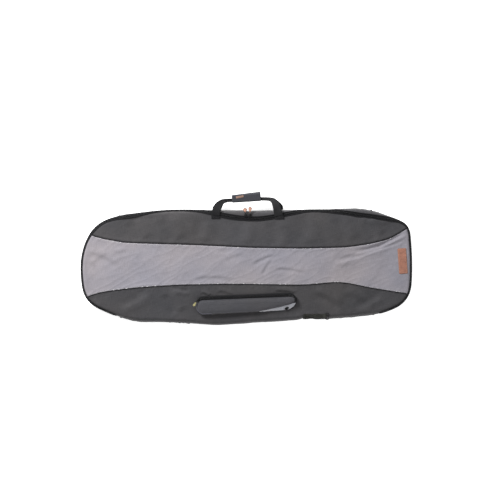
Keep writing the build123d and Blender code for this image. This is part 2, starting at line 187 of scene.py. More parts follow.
COUNT = 1280
RIM = resample(outline(COUNT), COUNT)
RIM_OUT = blur(outward(RIM), 2.0)
RIM_OUT /= np.linalg.norm(RIM_OUT, axis=1)[:, None]
RIM_LENGTH = np.linalg.norm(np.roll(RIM, -1, axis=0) - RIM, axis=1).sum()
RIM_STEP = RIM_LENGTH / COUNT
RIM_TREE = kdtree.KDTree(COUNT)
for number, point in enumerate(RIM):
    RIM_TREE.insert((point[0], point[1], 0), number)
RIM_TREE.balance()


def rim_values(knots, elsewhere):
    """A value round the outline: knots of (x, value) on the handle side, elsewhere a constant."""
    xs, values = zip(*knots)
    top = np.interp(RIM[:, 0], xs, values, left=elsewhere, right=elsewhere)
    return np.where(RIM[:, 1] > 0.03, top, elsewhere)


HAS_ZIP = blur(((RIM[:, 1] > 0) | (np.abs(RIM[:, 0]) > ZIP_END_X)).astype(float), 4.0)
HAS_ZIP = np.clip(HAS_ZIP * 1.6 - 0.3, 0, 1)
EDGE_INSET = blur(rim_values(ZIP_INSETS, END_INSET) * HAS_ZIP + HINGE_INSET * (1 - HAS_ZIP), 9.0)


# --- side profile -------------------------------------------------------------------
def shoulder_height(inset):
    """Height of the bag's skin at a distance inside its outline, above the widest line."""
    share = 1 - np.clip(np.abs(inset) / SHOULDER, 0, 1)
    rise = (1 - share**SHOULDER_POWER) ** (1 / SHOULDER_POWER)
    far = np.clip((np.abs(inset) - SHOULDER * 0.7) / 0.17, 0, 1)
    return BULGE_Z + (EDGE_Z - BULGE_Z) * rise + CROWN * far * far * (3 - 2 * far)


def profile_table():
    """Inset and height down the side, from well inside the front to the base seam."""
    down = np.linspace(1, 0, 220) ** 1.8
    upper = 0.09 * down
    lower = np.linspace(0, 1, 90)[1:]
    insets = np.concatenate([upper, BASE_INSET * lower**1.6])
    heights = np.concatenate([shoulder_height(upper), BULGE_Z + (BASE_Z - BULGE_Z) * lower])
    steps = np.hypot(np.diff(insets), np.diff(heights))
    return insets, heights, np.concatenate([[0], np.cumsum(steps)])


PROFILE_INSET, PROFILE_Z, PROFILE_S = profile_table()
UPPER_ROWS = 220
PROFILE_END = PROFILE_S[-1]
PROFILE_BULGE = PROFILE_S[UPPER_ROWS - 1]


def station_of(inset):
    """Distance down the profile at which the upper skin has that inset."""
    return np.interp(-np.asarray(inset), -PROFILE_INSET[:UPPER_ROWS], PROFILE_S[:UPPER_ROWS])


EDGE_S = station_of(EDGE_INSET)
BAND_S = EDGE_S + BAND_WIDTH * HAS_ZIP


def skin(index, station, proud=0.0):
    """Points on the bag's side skin: rim index (may be fractional) and distance down the profile."""
    index = np.asarray(index, float)
    base = np.floor(index).astype(int)
    part = (index - base)[..., None]
    one, two = base % COUNT, (base + 1) % COUNT
    rim = RIM[one] * (1 - part) + RIM[two] * part
    out = RIM_OUT[one] * (1 - part) + RIM_OUT[two] * part
    inset = np.interp(station, PROFILE_S, PROFILE_INSET)
    height = np.interp(station, PROFILE_S, PROFILE_Z)
    ahead_i = np.interp(station + 0.001, PROFILE_S, PROFILE_INSET)
    ahead_z = np.interp(station + 0.001, PROFILE_S, PROFILE_Z)
    back_i = np.interp(station - 0.001, PROFILE_S, PROFILE_INSET)
    back_z = np.interp(station - 0.001, PROFILE_S, PROFILE_Z)
    fall_i, fall_z = ahead_i - back_i, ahead_z - back_z
    size = np.hypot(fall_i, fall_z) + 1e-12
    normal_out, normal_up = -fall_z / size, -fall_i / size
    reach = -inset + proud * normal_out
    plan = rim + out * np.asarray(reach)[..., None]
    z = height + proud * normal_up
    return np.concatenate([plan, z[..., None]], -1)


def inset_at(x, y):
    """Distance of plan points inside the outline."""
    flat_x, flat_y = np.ravel(x), np.ravel(y)
    result = np.zeros(len(flat_x))
    for k, (a, b) in enumerate(zip(flat_x, flat_y)):
        index = RIM_TREE.find((a, b, 0))[1]
        offset = RIM[index] - (a, b)
        result[k] = offset @ RIM_OUT[index]
    return result.reshape(np.shape(x))


# --- front skin ---------------------------------------------------------------------
SEAM_SOFTNESS = 0.022


def smooth_line(knots):
    """A soft curve through knots, as dense x and y arrays."""
    xs, ys = zip(*knots)
    dense = np.arange(xs[0], xs[-1] + 0.001, 0.002)
    values = np.interp(dense, xs, ys)
    padded = np.pad(values, 60, mode="reflect", reflect_type="odd")
    reach = np.arange(-60, 61) * 0.002
    weights = np.exp(-((reach / SEAM_SOFTNESS) ** 2) / 2)
    return dense, np.convolve(padded, weights / weights.sum(), mode="valid")


UPPER_LINE = smooth_line(UPPER_SEAM)
LOWER_LINE = smooth_line(LOWER_SEAM)

FOLD_STRENGTH = 2.0
# Folds in the cloth: start, end, half width, height. A fold is a ridge with a dip on its right-hand side.
FOLDS = (
    ((0.708, 0.121), (0.476, 0.037), 0.010, 0.0060),
    ((0.640, 0.078), (0.387, -0.002), 0.013, 0.0032),
    ((0.700, 0.092), (0.520, 0.040), 0.008, 0.0020),
    ((-0.700, 0.085), (-0.560, 0.020), 0.016, 0.0015),
    ((-0.690, 0.020), (-0.610, 0.075), 0.014, 0.0009),
    ((-0.600, 0.060), (-0.520, 0.085), 0.012, 0.0007),
    ((0.020, 0.010), (0.130, 0.052), 0.010, 0.0014),
    ((0.060, -0.040), (0.110, 0.030), 0.009, 0.0013),
    ((0.120, -0.010), (0.260, -0.030), 0.010, 0.0014),
    ((-0.100, 0.030), (-0.010, 0.060), 0.012, 0.0010),
    ((-0.230, -0.045), (-0.060, -0.052), 0.012, 0.0012),
    ((0.300, -0.110), (0.420, -0.180), 0.020, 0.0040),
    ((0.440, -0.112), (0.560, -0.190), 0.022, 0.0030),
    ((0.600, -0.150), (0.480, -0.215), 0.018, 0.0028),
    ((-0.330, -0.105), (-0.290, -0.200), 0.024, 0.0034),
    ((-0.420, -0.120), (-0.560, -0.190), 0.022, 0.0026),
    ((-0.250, -0.118), (-0.340, -0.098), 0.010, 0.0020),
    ((-0.200, -0.110), (-0.160, -0.128), 0.008, 0.0022),
    ((-0.130, -0.104), (-0.060, -0.122), 0.010, 0.0016),
    ((0.120, -0.108), (0.225, -0.122), 0.010, 0.0022),
    ((-0.330, 0.225), (-0.290, 0.120), 0.030, 0.0030),
    ((-0.480, 0.215), (-0.440, 0.125), 0.026, 0.0022),
    ((-0.160, 0.200), (-0.190, 0.110), 0.028, 0.0026),
    ((0.020, 0.190), (0.000, 0.095), 0.030, 0.0024),
    ((0.150, 0.195), (0.170, 0.085), 0.030, 0.0026),
    ((0.300, 0.225), (0.280, 0.090), 0.034, 0.0026),
    ((0.430, 0.215), (0.470, 0.100), 0.028, 0.0024),
    ((0.540, 0.195), (0.600, 0.120), 0.024, 0.0030),
    ((0.640, 0.180), (0.500, 0.205), 0.014, 0.0030),
)


def fold_relief(x, y):
    """Height that the folds add at plan points."""
    total = np.zeros_like(x)
    for start, end, width, height in FOLDS:
        (ax, ay), (bx, by) = start, end
        length = math.hypot(bx - ax, by - ay)
        ux, uy = (bx - ax) / length, (by - ay) / length
        share = np.clip(((x - ax) * ux + (y - ay) * uy) / length, 0, 1)
        bow = 0.06 * length * np.sin(share * math.pi)
        aside = (x - ax) * -uy + (y - ay) * ux - bow
        beyond = np.hypot(x - (ax + ux * length * share), y - (ay + uy * length * share))
        fade = np.exp(-((np.maximum(beyond - np.abs(aside), 0) / width) ** 2))
        fade = fade * np.clip(np.sin(share * math.pi) * 1.7, 0, 1)
        step = aside / width
        total += height * fade * (np.exp(-(step**2)) - 0.75 * np.exp(-((step + 1.25) ** 2)))
    return total * FOLD_STRENGTH


def noise_at(x, y, scale_x, scale_y, seed):
    """Smooth noise between about -1 and 1 at plan points."""
    flat = zip(np.ravel(x) * scale_x, np.ravel(y) * scale_y)
    values = [noise.noise((a, b, seed)) for a, b in flat]
    return np.array(values).reshape(np.shape(x))


def creasing(x, y, seed):
    """Fine sharp creases of crumpled cloth."""
    warp = 0.015 * noise_at(x, y, 9, 9, seed + 5.0)
    along, aside = 0.88 * x + 0.47 * y, 0.88 * y - 0.47 * x
    ridge = 1 - np.abs(noise_at(along + warp, aside - warp, 9, 40, seed)) * 2.2
    return np.clip(ridge, 0, 1) ** 3


def seam_relief(x, y):
    """Sunk stitching line and puckers along both front seams."""
    total = np.zeros_like(x)
    for line in (UPPER_LINE, LOWER_LINE):
        gap = y - np.interp(x, *line)
        ripple = noise_at(x, y, 60, 8, line[1][0] * 50)
        total -= 0.0022 * np.exp(-((gap / 0.0022) ** 2))
        total += (0.0008 + 0.0014 * ripple) * np.exp(-(((np.abs(gap) - 0.008) / 0.008) ** 2))
    return total


def relief(x, y, inset):
    """Everything that lifts or sinks the front cloth off the bag's smooth shape."""
    swell = 0.0052 * noise_at(x, y, 5.5, 5.0, 3.1) + 0.0022 * noise_at(x, y, 13, 12, 8.4)
    light = (y < np.interp(x, *UPPER_LINE)) & (y > np.interp(x, *LOWER_LINE))
    fine = 0.0011 * creasing(x, y, 21.7) * np.where(light, 1.0, 0.45)
    edge_pucker = 0.0012 * noise_at(x, y, 45, 45, 14.2) * np.exp(-((inset / 0.035) ** 2))
    calm = np.clip(inset / 0.03, 0.15, 1)
    return (swell + fold_relief(x, y) + fine) * calm + seam_relief(x, y) + edge_pucker


def front_points(x, y, lift=0.0):
    """Points of the front skin over plan points."""
    inset = inset_at(x, y)
    z = shoulder_height(np.maximum(inset, 0)) + relief(x, y, inset) + lift
    return np.stack([x, y, z], -1)


# --- mesh helpers -------------------------------------------------------------------
def grid_faces(rows, columns, closed=False):
    """Quads between rows of vertices; closed joins each row's end to its start."""
    row = np.arange(rows - 1)[:, None] * columns
    column = np.arange(columns if closed else columns - 1)[None, :]
    beside = (column + 1) % columns
    quads = np.stack([row + column, row + beside, row + columns + beside, row + columns + column], -1)
    return quads.reshape(-1, 4)


def end_to_start(rows, columns):
    """Quads that join the last closed row of vertices to the first."""
    last = (rows - 1) * columns
    return [[last + k, last + (k + 1) % columns, (k + 1) % columns, k] for k in range(columns)]


def rod_faces(first, rings, sides):
    """Quads round an open rod of rings that starts at vertex number first."""
    return (grid_faces(rings, sides, closed=True) + first).tolist()


def upward(count):
    """Normals that all point up."""
    return np.tile((0.0, 0.0, 1.0), (count, 1))


def make_object(name, vertices, faces, material, uv=None, weld=0.0):
    """A smooth-shaded mesh object."""
    mesh = bpy.data.meshes.new(name)
    mesh.from_pydata(np.asarray(vertices, float).reshape(-1, 3).tolist(), [], [list(f) for f in faces])
    if uv is not None:
        corner = np.zeros(len(mesh.loops), int)
        mesh.loops.foreach_get("vertex_index", corner)
        layer = mesh.uv_layers.new(name="UVMap")
        layer.data.foreach_set("uv", np.asarray(uv, float).reshape(-1, 2)[corner].ravel())
    if weld:
        work = bmesh.new()
        work.from_mesh(mesh)
        bmesh.ops.remove_doubles(work, verts=work.verts, dist=weld)
        work.to_mesh(mesh)
        work.free()
    mesh.polygons.foreach_set("use_smooth", [True] * len(mesh.polygons))
    mesh.materials.append(material)
    mesh.update()
    made = bpy.data.objects.new(name, mesh)
    bpy.context.scene.collection.objects.link(made)
    return made


def freeze(piece):
    """Applies a piece's modifiers."""
    evaluated = piece.evaluated_get(bpy.context.evaluated_depsgraph_get())
    mesh = bpy.data.meshes.new_from_object(evaluated)
    piece.modifiers.clear()
    piece.data = mesh
    return piece


def thicken(piece, thickness, offset=-1.0):
    """Gives a sheet its thickness, inwards from its outer face."""
    solid = piece.modifiers.new("thickness", "SOLIDIFY")
    solid.thickness = thickness
    solid.offset = offset
    solid.use_even_offset = False
    return freeze(piece)


def unit(vectors):
    """Vectors scaled to length 1."""
    return vectors / (np.linalg.norm(vectors, axis=-1, keepdims=True) + 1e-12)


def frames_along(points, normals, closed):
    """Sideways and corrected normal directions along a line."""
    if closed:
        tangents = unit(np.roll(points, -1, axis=0) - np.roll(points, 1, axis=0))
    else:
        tangents = unit(np.gradient(points, axis=0))
    sideways = unit(np.cross(tangents, normals))
    return sideways, np.cross(sideways, tangents)


def tube(name, points, normals, radius, material, closed=False, sides=8, flat=1.0):
    """A round or flattened cord along a line."""
    points = np.asarray(points, float)
    sideways, normals = frames_along(points, np.asarray(normals, float), closed)
    angles = np.arange(sides) * 2 * math.pi / sides
    circle = np.cos(angles)[None, :, None] * sideways[:, None] * radius
    circle = circle + np.sin(angles)[None, :, None] * normals[:, None] * radius * flat
    vertices = points[:, None] + circle
    count = len(points)
    faces = grid_faces(count, sides, closed=True).tolist()
    if closed:
        faces += end_to_start(count, sides)
    else:
        faces += [list(range(sides))[::-1], [(count - 1) * sides + k for k in range(sides)]]
    around = np.tile(np.linspace(0, 2 * math.pi * radius, sides), (count, 1))
    walked = np.concatenate([[0], np.cumsum(np.linalg.norm(np.diff(points, axis=0), axis=1))])
    uv = np.stack([np.tile(walked[:, None], (1, sides)), around], -1)
    return make_object(name, vertices, faces, material, uv)


def stitches(name, points, normals, material, length=0.0034, gap=0.0016, radius=0.00042, keep=None):
    """A row of separate thread stitches lying along a line."""
    points, normals = np.asarray(points, float), np.asarray(normals, float)
    total = np.linalg.norm(np.diff(points, axis=0), axis=1)
    walked = np.concatenate([[0], np.cumsum(total)])
    starts = np.arange(0, walked[-1] - length, length + gap)
    if keep is not None:
        starts = starts[[keep(k) for k in range(len(starts))]]
    vertices, faces = [], []
    for start in starts:
        spots = start + length * np.array([0.0, 0.25, 0.75, 1.0])
        at = np.stack([np.interp(spots, walked, points[:, k]) for k in range(3)], 1)
        up = unit(np.array([np.interp(start, walked, normals[:, k]) for k in range(3)]))
        way = unit(at[-1] - at[0])
        side = np.cross(way, up)
        lift = np.array([-0.6, 0.55, 0.55, -0.6]) * radius
        wide = np.array([0.45, 1.0, 1.0, 0.45]) * radius
        first = len(vertices)
        for centre, rise, half in zip(at, lift, wide):
            for turn in range(6):
                angle = turn * math.pi / 3
                ring = side * math.cos(angle) + up * math.sin(angle)
                vertices.append(centre + up * rise + ring * half)
        faces += rod_faces(first, 4, 6)
    return make_object(name, vertices, faces, material)


def ride(piece, body, replaces=()):
    """The piece moves with a body, and stands for CAD nodes."""
    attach(piece, body)
    if replaces:
        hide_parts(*replaces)
    return piece


def join(piece, replaces=()):
    """The piece's placement is baked into its mesh, and it stands for CAD nodes."""
    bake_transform(piece)
    if replaces:
        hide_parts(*replaces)


# --- materials ----------------------------------------------------------------------
def linear(red, green, blue):
    """A screen colour, 0 to 255, as a linear colour."""
    def one(value):
        value = value / 255
        return value / 12.92 if value <= 0.04045 else ((value + 0.055) / 1.055) ** 2.4

    return (one(red), one(green), one(blue), 1.0)


class Nodes:
    """A material's node tree, built by short calls."""

    def __init__(self, name):
        self.material = bpy.data.materials.new(name)
        self.material.use_nodes = True
        self.tree = self.material.node_tree
        self.shader = self.tree.nodes["Principled BSDF"]

    def add(self, kind, settings=(), **inputs):
        node = self.tree.nodes.new(kind)
        for key, value in dict(settings).items():
            setattr(node, key, value)
        for key, value in inputs.items():
            socket = node.inputs[int(key[1:])] if key[0] == "i" and key[1:].isdigit() else node.inputs[key]
            self.put(socket, value)
        return node.outputs[0]

    def put(self, socket, value):
        if isinstance(value, bpy.types.NodeSocket):
            self.tree.links.new(value, socket)
        else:
            socket.default_value = value

    def math(self, operation, *values):
        inputs = {f"i{k}": v for k, v in enumerate(values)}
        return self.add("ShaderNodeMath", {"operation": operation}, **inputs)

    def noise(self, where, scale, detail=2.0, roughness=0.5):
        return self.add("ShaderNodeTexNoise", Vector=where, Scale=scale, Detail=detail, Roughness=roughness)

    def remap(self, value, low, high, to_low, to_high):
        node = self.tree.nodes.new("ShaderNodeMapRange")
        for socket, given in zip(node.inputs, (value, low, high, to_low, to_high)):
            self.put(socket, given)
        return node.outputs[0]

    def tint(self, colour, *shares):
        """A colour made darker or lighter by each share."""
        result = colour
        for share in shares:
            node = self.tree.nodes.new("ShaderNodeVectorMath")
            node.operation = "SCALE"
            self.put(node.inputs[0], result if not isinstance(result, tuple) else result[:3])
            self.put(node.inputs["Scale"], share)
            result = node.outputs[0]
        return result

    def bump(self, height, strength, distance, under=None):
        node = self.tree.nodes.new("ShaderNodeBump")
        node.inputs["Strength"].default_value = strength
        node.inputs["Distance"].default_value = distance
        self.put(node.inputs["Height"], height)
        if under is not None:
            self.put(node.inputs["Normal"], under)
        return node.outputs[0]

    def finish(self, **inputs):
        for key, value in inputs.items():
            self.put(self.shader.inputs[key.replace("_", " ")], value)
        return self.material


def cloth(name, colour, yarn=0.0009, mottle=0.10, roughness=0.82, sheen=0.15, weave_shading=0.5, blotches_and_painted_sheen=0.07):
    """Plain-woven cloth with uneven yarns, soft blotches and faint scuffs; its colour is darker in the
    weave's hollows and lighter on the yarn tops, painted shade and highlight. In the dark cloth the broad
    blotches also stand for painted sheen and fold shading.
    """
    n = Nodes(name)
    place = n.tree.nodes.new("ShaderNodeTexCoord").outputs["UV"]
    parts = n.tree.nodes.new("ShaderNodeSeparateXYZ")
    n.put(parts.inputs[0], place)
    across, along = parts.outputs[0], parts.outputs[1]
    turn = math.pi / yarn
    warp = n.math("ABSOLUTE", n.math("SINE", n.math("MULTIPLY", across, turn)))
    weft = n.math("ABSOLUTE", n.math("SINE", n.math("MULTIPLY", along, turn)))
    over = n.math("MULTIPLY", n.math("COSINE", n.math("MULTIPLY", across, turn)),
                  n.math("COSINE", n.math("MULTIPLY", along, turn)))
    choose = n.remap(over, -0.15, 0.15, 0.0, 1.0)
    weave = n.math("ADD", n.math("MULTIPLY", warp, choose),
                   n.math("MULTIPLY", weft, n.math("SUBTRACT", 1.0, choose)))
    streak = n.add("ShaderNodeMapping", Vector=place, Scale=(900.0, 35.0, 900.0))
    slub = n.noise(streak, 1.0, 2.0)
    streak_two = n.add("ShaderNodeMapping", Vector=place, Scale=(35.0, 900.0, 900.0))
    slub_two = n.noise(streak_two, 1.0, 2.0)
    blotch = n.noise(place, 7.0, 4.0, 0.6)
    speck = n.noise(place, 260.0, 2.0, 0.7)
    shade = n.tint(
        colour,
        # Weave height sets the colour: painted shade in the hollows between yarns, painted highlight on the
        # yarn tops.
        n.remap(weave, 0.0, 1.0, 1 - weave_shading * 0.5, 1 + weave_shading * 0.22),
        n.remap(slub, 0.3, 0.7, 1 - mottle, 1 + mottle),
        n.remap(slub_two, 0.3, 0.7, 1 - mottle, 1 + mottle),
        # Broad blotches: random tone, and where set strong, as in the dark cloth, also painted sheen and fold
        # shading.
        n.remap(blotch, 0.3, 0.7, 1 - blotches_and_painted_sheen, 1 + blotches_and_painted_sheen),
        n.remap(speck, 0.3, 0.7, 0.96, 1.04),
    )
    hue = n.noise(place, 3.5, 3.0)
    cast = n.tree.nodes.new("ShaderNodeCombineXYZ")
    n.put(cast.inputs[0], n.remap(hue, 0.3, 0.7, 0.97, 1.035))
    n.put(cast.inputs[1], 1.0)
    n.put(cast.inputs[2], n.remap(hue, 0.3, 0.7, 1.045, 0.96))
    shade = n.add("ShaderNodeVectorMath", {"operation": "MULTIPLY"}, i0=shade, i1=cast.outputs[0])
    normal = n.bump(weave, 0.5, yarn * 0.25)
    normal = n.bump(n.noise(place, 90.0, 3.0, 0.6), 0.25, 0.0009, normal)
    rough = n.remap(blotch, 0.3, 0.7, roughness - 0.06, roughness + 0.06)
    return n.finish(Base_Color=shade, Roughness=rough, Normal=normal, Sheen_Weight=sheen, Sheen_Roughness=0.5,
                    Specular_IOR_Level=0.2)


def webbing(name, colour, rib=0.0016, roughness=0.62):
    """Woven strap with ribs along it and a fine chevron; U runs along the strap. Its colour is darker in the
    rib hollows and lighter on the crests, painted shade and highlight.
    """
    n = Nodes(name)
    place = n.tree.nodes.new("ShaderNodeTexCoord").outputs["UV"]
    parts = n.tree.nodes.new("ShaderNodeSeparateXYZ")
    n.put(parts.inputs[0], place)
    along, across = parts.outputs[0], parts.outputs[1]
    ribs = n.math("ABSOLUTE", n.math("SINE", n.math("MULTIPLY", across, math.pi / rib)))
    slope = n.math("ADD", n.math("MULTIPLY", along, 2 * math.pi / 0.0022),
                   n.math("MULTIPLY", n.math("PINGPONG", across, rib), 2.6 / rib))
    twill = n.math("ABSOLUTE", n.math("SINE", slope))
    height = n.math("ADD", n.math("MULTIPLY", ribs, 0.6), n.math("MULTIPLY", twill, 0.4))
    wear = n.noise(place, 45.0, 3.0, 0.65)
    # Colour follows the rib height: painted shade in the hollows, painted highlight on the crests.
    shade = n.tint(colour, n.remap(height, 0.0, 1.0, 0.55, 1.3), n.remap(wear, 0.3, 0.7, 0.85, 1.2))
    normal = n.bump(height, 0.7, 0.0004)
    rough = n.remap(wear, 0.3, 0.7, roughness - 0.08, roughness + 0.1)
    return n.finish(Base_Color=shade, Roughness=rough, Normal=normal, Sheen_Weight=0.02,
                    Specular_IOR_Level=0.15)


def solid(name, colour, roughness=0.4, metallic=0.0, scale=180.0):
    """Moulded plastic or cast metal with a fine grain and slightly worn tone."""
    n = Nodes(name)
    place = n.tree.nodes.new("ShaderNodeTexCoord").outputs["Object"]
    fine = n.noise(place, scale, 3.0, 0.6)
    broad = n.noise(place, scale * 0.12, 3.0, 0.6)
    shade = n.tint(colour, n.remap(broad, 0.3, 0.7, 0.88, 1.12))
    rough = n.remap(fine, 0.3, 0.7, roughness - 0.08, roughness + 0.1)
    return n.finish(Base_Color=shade, Roughness=rough, Metallic=metallic, Normal=n.bump(fine, 0.35, 0.0002),
                    Specular_IOR_Level=0.3)


def leather(name, colour):
    """Leather-look sheet: pebbled grain, uneven tan tone, and painted shade in the crevices between pebbles.
    """
    n = Nodes(name)
    place = n.tree.nodes.new("ShaderNodeTexCoord").outputs["Object"]
    cells = n.tree.nodes.new("ShaderNodeTexVoronoi")
    cells.feature = "DISTANCE_TO_EDGE"
    n.put(cells.inputs["Vector"], place)
    cells.inputs["Scale"].default_value = 620.0
    pebble = n.remap(cells.outputs[0], 0.0, 0.18, 0.0, 1.0)
    cloud = n.noise(place, 55.0, 4.0, 0.65)
    streak = n.noise(n.add("ShaderNodeMapping", Vector=place, Scale=(30.0, 140.0, 30.0)), 1.0, 3.0)
    # Colour darker towards each pebble's edge: painted shade in the grain's crevices.
    shade = n.tint(colour, n.remap(cloud, 0.3, 0.7, 0.82, 1.16), n.remap(streak, 0.3, 0.7, 0.93, 1.07),
                   n.remap(pebble, 0.0, 1.0, 0.86, 1.03))
    normal = n.bump(pebble, 0.5, 0.00022)
    normal = n.bump(cloud, 0.3, 0.0008, normal)
    return n.finish(Base_Color=shade, Roughness=n.remap(cloud, 0.3, 0.7, 0.46, 0.62), Normal=normal)


# The dark cloth's strong broad blotches are partly random tone and partly painted sheen and fold shading.
DARK = cloth("dark_cloth", linear(59, 58, 60), mottle=0.14, blotches_and_painted_sheen=0.15)
LIGHT = cloth("light_cloth", linear(128, 125, 131), mottle=0.09, weave_shading=0.35)
BACK = cloth("back_cloth", linear(52, 51, 54), mottle=0.10, yarn=0.0011)
LINING = cloth("lining_cloth", linear(50, 50, 54), yarn=0.0007, mottle=0.06, roughness=0.7, sheen=0.05)
GRIP = cloth("grip_cloth", linear(50, 51, 56), yarn=0.0010, mottle=0.12)
POCKET_FACE = cloth("pocket_face_cloth", linear(62, 62, 66), mottle=0.12)
POCKET_LIGHT = cloth("pocket_gusset_cloth", linear(172, 172, 177), yarn=0.0009)
HOOKS = cloth("hook_and_loop", linear(38, 38, 40), yarn=0.0005, roughness=0.95, sheen=0.3)
TAPE = webbing("zip_tape", linear(22, 22, 24), rib=0.0012, roughness=0.8)
BINDING = webbing("binding_tape", linear(20, 20, 22), rib=0.0010, roughness=0.85)
STRAP = webbing("black_webbing", linear(20, 20, 22), rib=0.0024)
OLIVE_STRAP = webbing("olive_webbing", linear(40, 40, 37), rib=0.0020)
THREAD_DARK = solid("dark_thread", linear(36, 35, 38), roughness=0.7, scale=900.0)
THREAD_LIGHT = solid("light_thread", linear(205, 203, 206), roughness=0.6, scale=900.0)
THREAD_TAN = solid("tan_thread", linear(196, 150, 124), roughness=0.6, scale=900.0)
COIL = solid("zip_coil", linear(30, 30, 32), roughness=0.45, scale=400.0)
BLACK_METAL = solid("black_metal", linear(18, 18, 20), roughness=0.38, metallic=0.3, scale=300.0)
# Two copies of one copper for the main pulls: a lighter one on the face for painted highlight, a darker one
# on the rim for painted shade.
COPPER_LIT = solid("copper_pull", linear(176, 134, 116), roughness=0.40, metallic=0.4, scale=260.0)
POCKET_EDGE = webbing("pocket_edge_cord", linear(74, 74, 84), rib=0.0010, roughness=0.85)
COPPER_SHADED = solid("copper_rim", linear(92, 62, 46), roughness=0.45, metallic=0.4, scale=260.0)
GOLD = solid("gold_pull", linear(156, 150, 108), roughness=0.40, metallic=0.4, scale=260.0)
PLASTIC = solid("black_plastic", linear(12, 12, 14), roughness=0.6, scale=240.0)
PATCH = leather("patch_leather", linear(141, 95, 77))
TAN_TAB = leather("label_leather", linear(126, 98, 84))


# --- front panels -------------------------------------------------------------------
EDGE = RIM - RIM_OUT * EDGE_INSET[:, None]
RIGHT_TIP = int(np.argmax(EDGE[:, 0]))
LEFT_TIP = int(np.argmin(EDGE[:, 0]))
EDGE_TOP = np.concatenate([EDGE[LEFT_TIP:], EDGE[: RIGHT_TIP + 1]])
EDGE_BOTTOM = EDGE[RIGHT_TIP : LEFT_TIP + 1][::-1]


def edge_top(x):
    """Upper limit of the front cloth at x."""
    return np.interp(x, EDGE_TOP[:, 0], EDGE_TOP[:, 1])


def edge_bottom(x):
    """Lower limit of the front cloth at x."""
    return np.interp(x, EDGE_BOTTOM[:, 0], EDGE_BOTTOM[:, 1])


def front_columns():
    """The x of each column of the front grids, closer together round the ends."""
    straight = np.arange(-0.690, 0.6901, 0.004)
    ends = EDGE_TOP[np.abs(EDGE_TOP[:, 0]) > 0.692, 0]
    return np.sort(np.concatenate([straight, ends]))


COLUMNS = front_columns()


def eased(count, amount=0.8):
    """Shares from 0 to 1, closer together at both ends."""
    t = np.linspace(0, 1, count)
    return (1 - amount) * t + amount * (0.5 - 0.5 * np.cos(np.pi * t))


def front_sheet(name, low, high, rows, material):
    """A front panel between two limits, each a function of x."""
    bottom, top = low(COLUMNS), high(COLUMNS)
    used = np.flatnonzero(top - bottom > 0.0008)
    first, last = max(used[0] - 1, 0), min(used[-1] + 1, len(COLUMNS) - 1)
    xs = COLUMNS[first : last + 1]
    bottom, top = bottom[first : last + 1], np.maximum(top, bottom)[first : last + 1]
    y = bottom + (top - bottom) * eased(rows)[:, None]
    x = np.broadcast_to(xs, y.shape)
    piece = make_object(name, front_points(x, y), grid_faces(rows, len(xs)), material, np.stack([x, y], -1),
                        weld=MERGE)
    return thicken(piece, 0.0018)


def build_front():
    """The three cloth panels of the front."""
    def upper_seam(x):
        return np.interp(x, *UPPER_LINE)

    def lower_seam(x):
        return np.interp(x, *LOWER_LINE)

    upper = front_sheet("front_upper_cloth", lambda x: np.minimum(upper_seam(x), edge_top(x)),
                        edge_top, 54, DARK)
    centre = front_sheet("front_centre_cloth", lambda x: np.clip(lower_seam(x), edge_bottom(x), edge_top(x)),
                         lambda x: np.clip(upper_seam(x), edge_bottom(x), edge_top(x)), 64, LIGHT)
    lower = front_sheet("front_lower_cloth", edge_bottom,
                        lambda x: np.maximum(lower_seam(x), edge_bottom(x)), 64, DARK)
    ride(upper, "lid", ["front_upper_panel"])
    ride(centre, "lid", ["front_center_panel"])
    over_fold(lower, ["front_lower_panel", "front_margin"])


def build_seams():
    """Dark cord in each front seam, its topstitching and a few slack light stitches."""
    for word, (line_x, line_y) in (("upper", UPPER_LINE), ("lower", LOWER_LINE)):
        inside = (line_y < np.interp(line_x, *edge_line(1))) & (line_y > np.interp(line_x, *edge_line(-1)))
        x, y = line_x[inside], line_y[inside]
        up = upward(len(x))
        uneven = 0.0006 * noise_at(x, y, 40, 1, 3.3)
        cord = tube(f"{word}_seam_cord", front_points(x, y + uneven, 0.0020), up, 0.0017, BINDING, sides=10)
        ride(cord, "lid")
        outwards = 1 if word == "upper" else -1
        for side, row_word, thread in ((1, "outer", THREAD_DARK), (-1, "inner", THREAD_LIGHT)):
            at = front_points(x, y + side * outwards * 0.0055, 0.0004)
            ride(stitches(f"{word}_seam_stitches_{row_word}", at, up, thread), "lid")
        at = front_points(x, y - outwards * 0.0035, 0.0008)
        picked = random.Random(7 if word == "upper" else 11)
        loose = stitches(f"{word}_seam_slack_stitches", at, up, THREAD_LIGHT, length=0.0070, gap=0.0045,
                         radius=0.0009, keep=lambda k: picked.random() < 0.14)
        ride(loose, "lid")


def edge_line(side):
    """The front's edge on one side as x and y, in rising x."""
    xs = COLUMNS
    return xs, (edge_top(xs) if side > 0 else edge_bottom(xs)) - side * 0.0015


def over_fold(piece, replaces):
    """Bakes a piece's placement into its mesh and hides the CAD nodes it stands for."""
    join(piece, replaces)


def quilting(x, y):
    """Swell of the lining between its crossed rows of stitching, from 0 to 1."""
    quilt = np.abs(np.sin((x + y) * 32)) * np.abs(np.sin((x - y) * 32))
    return np.minimum(quilt * 3, 1)


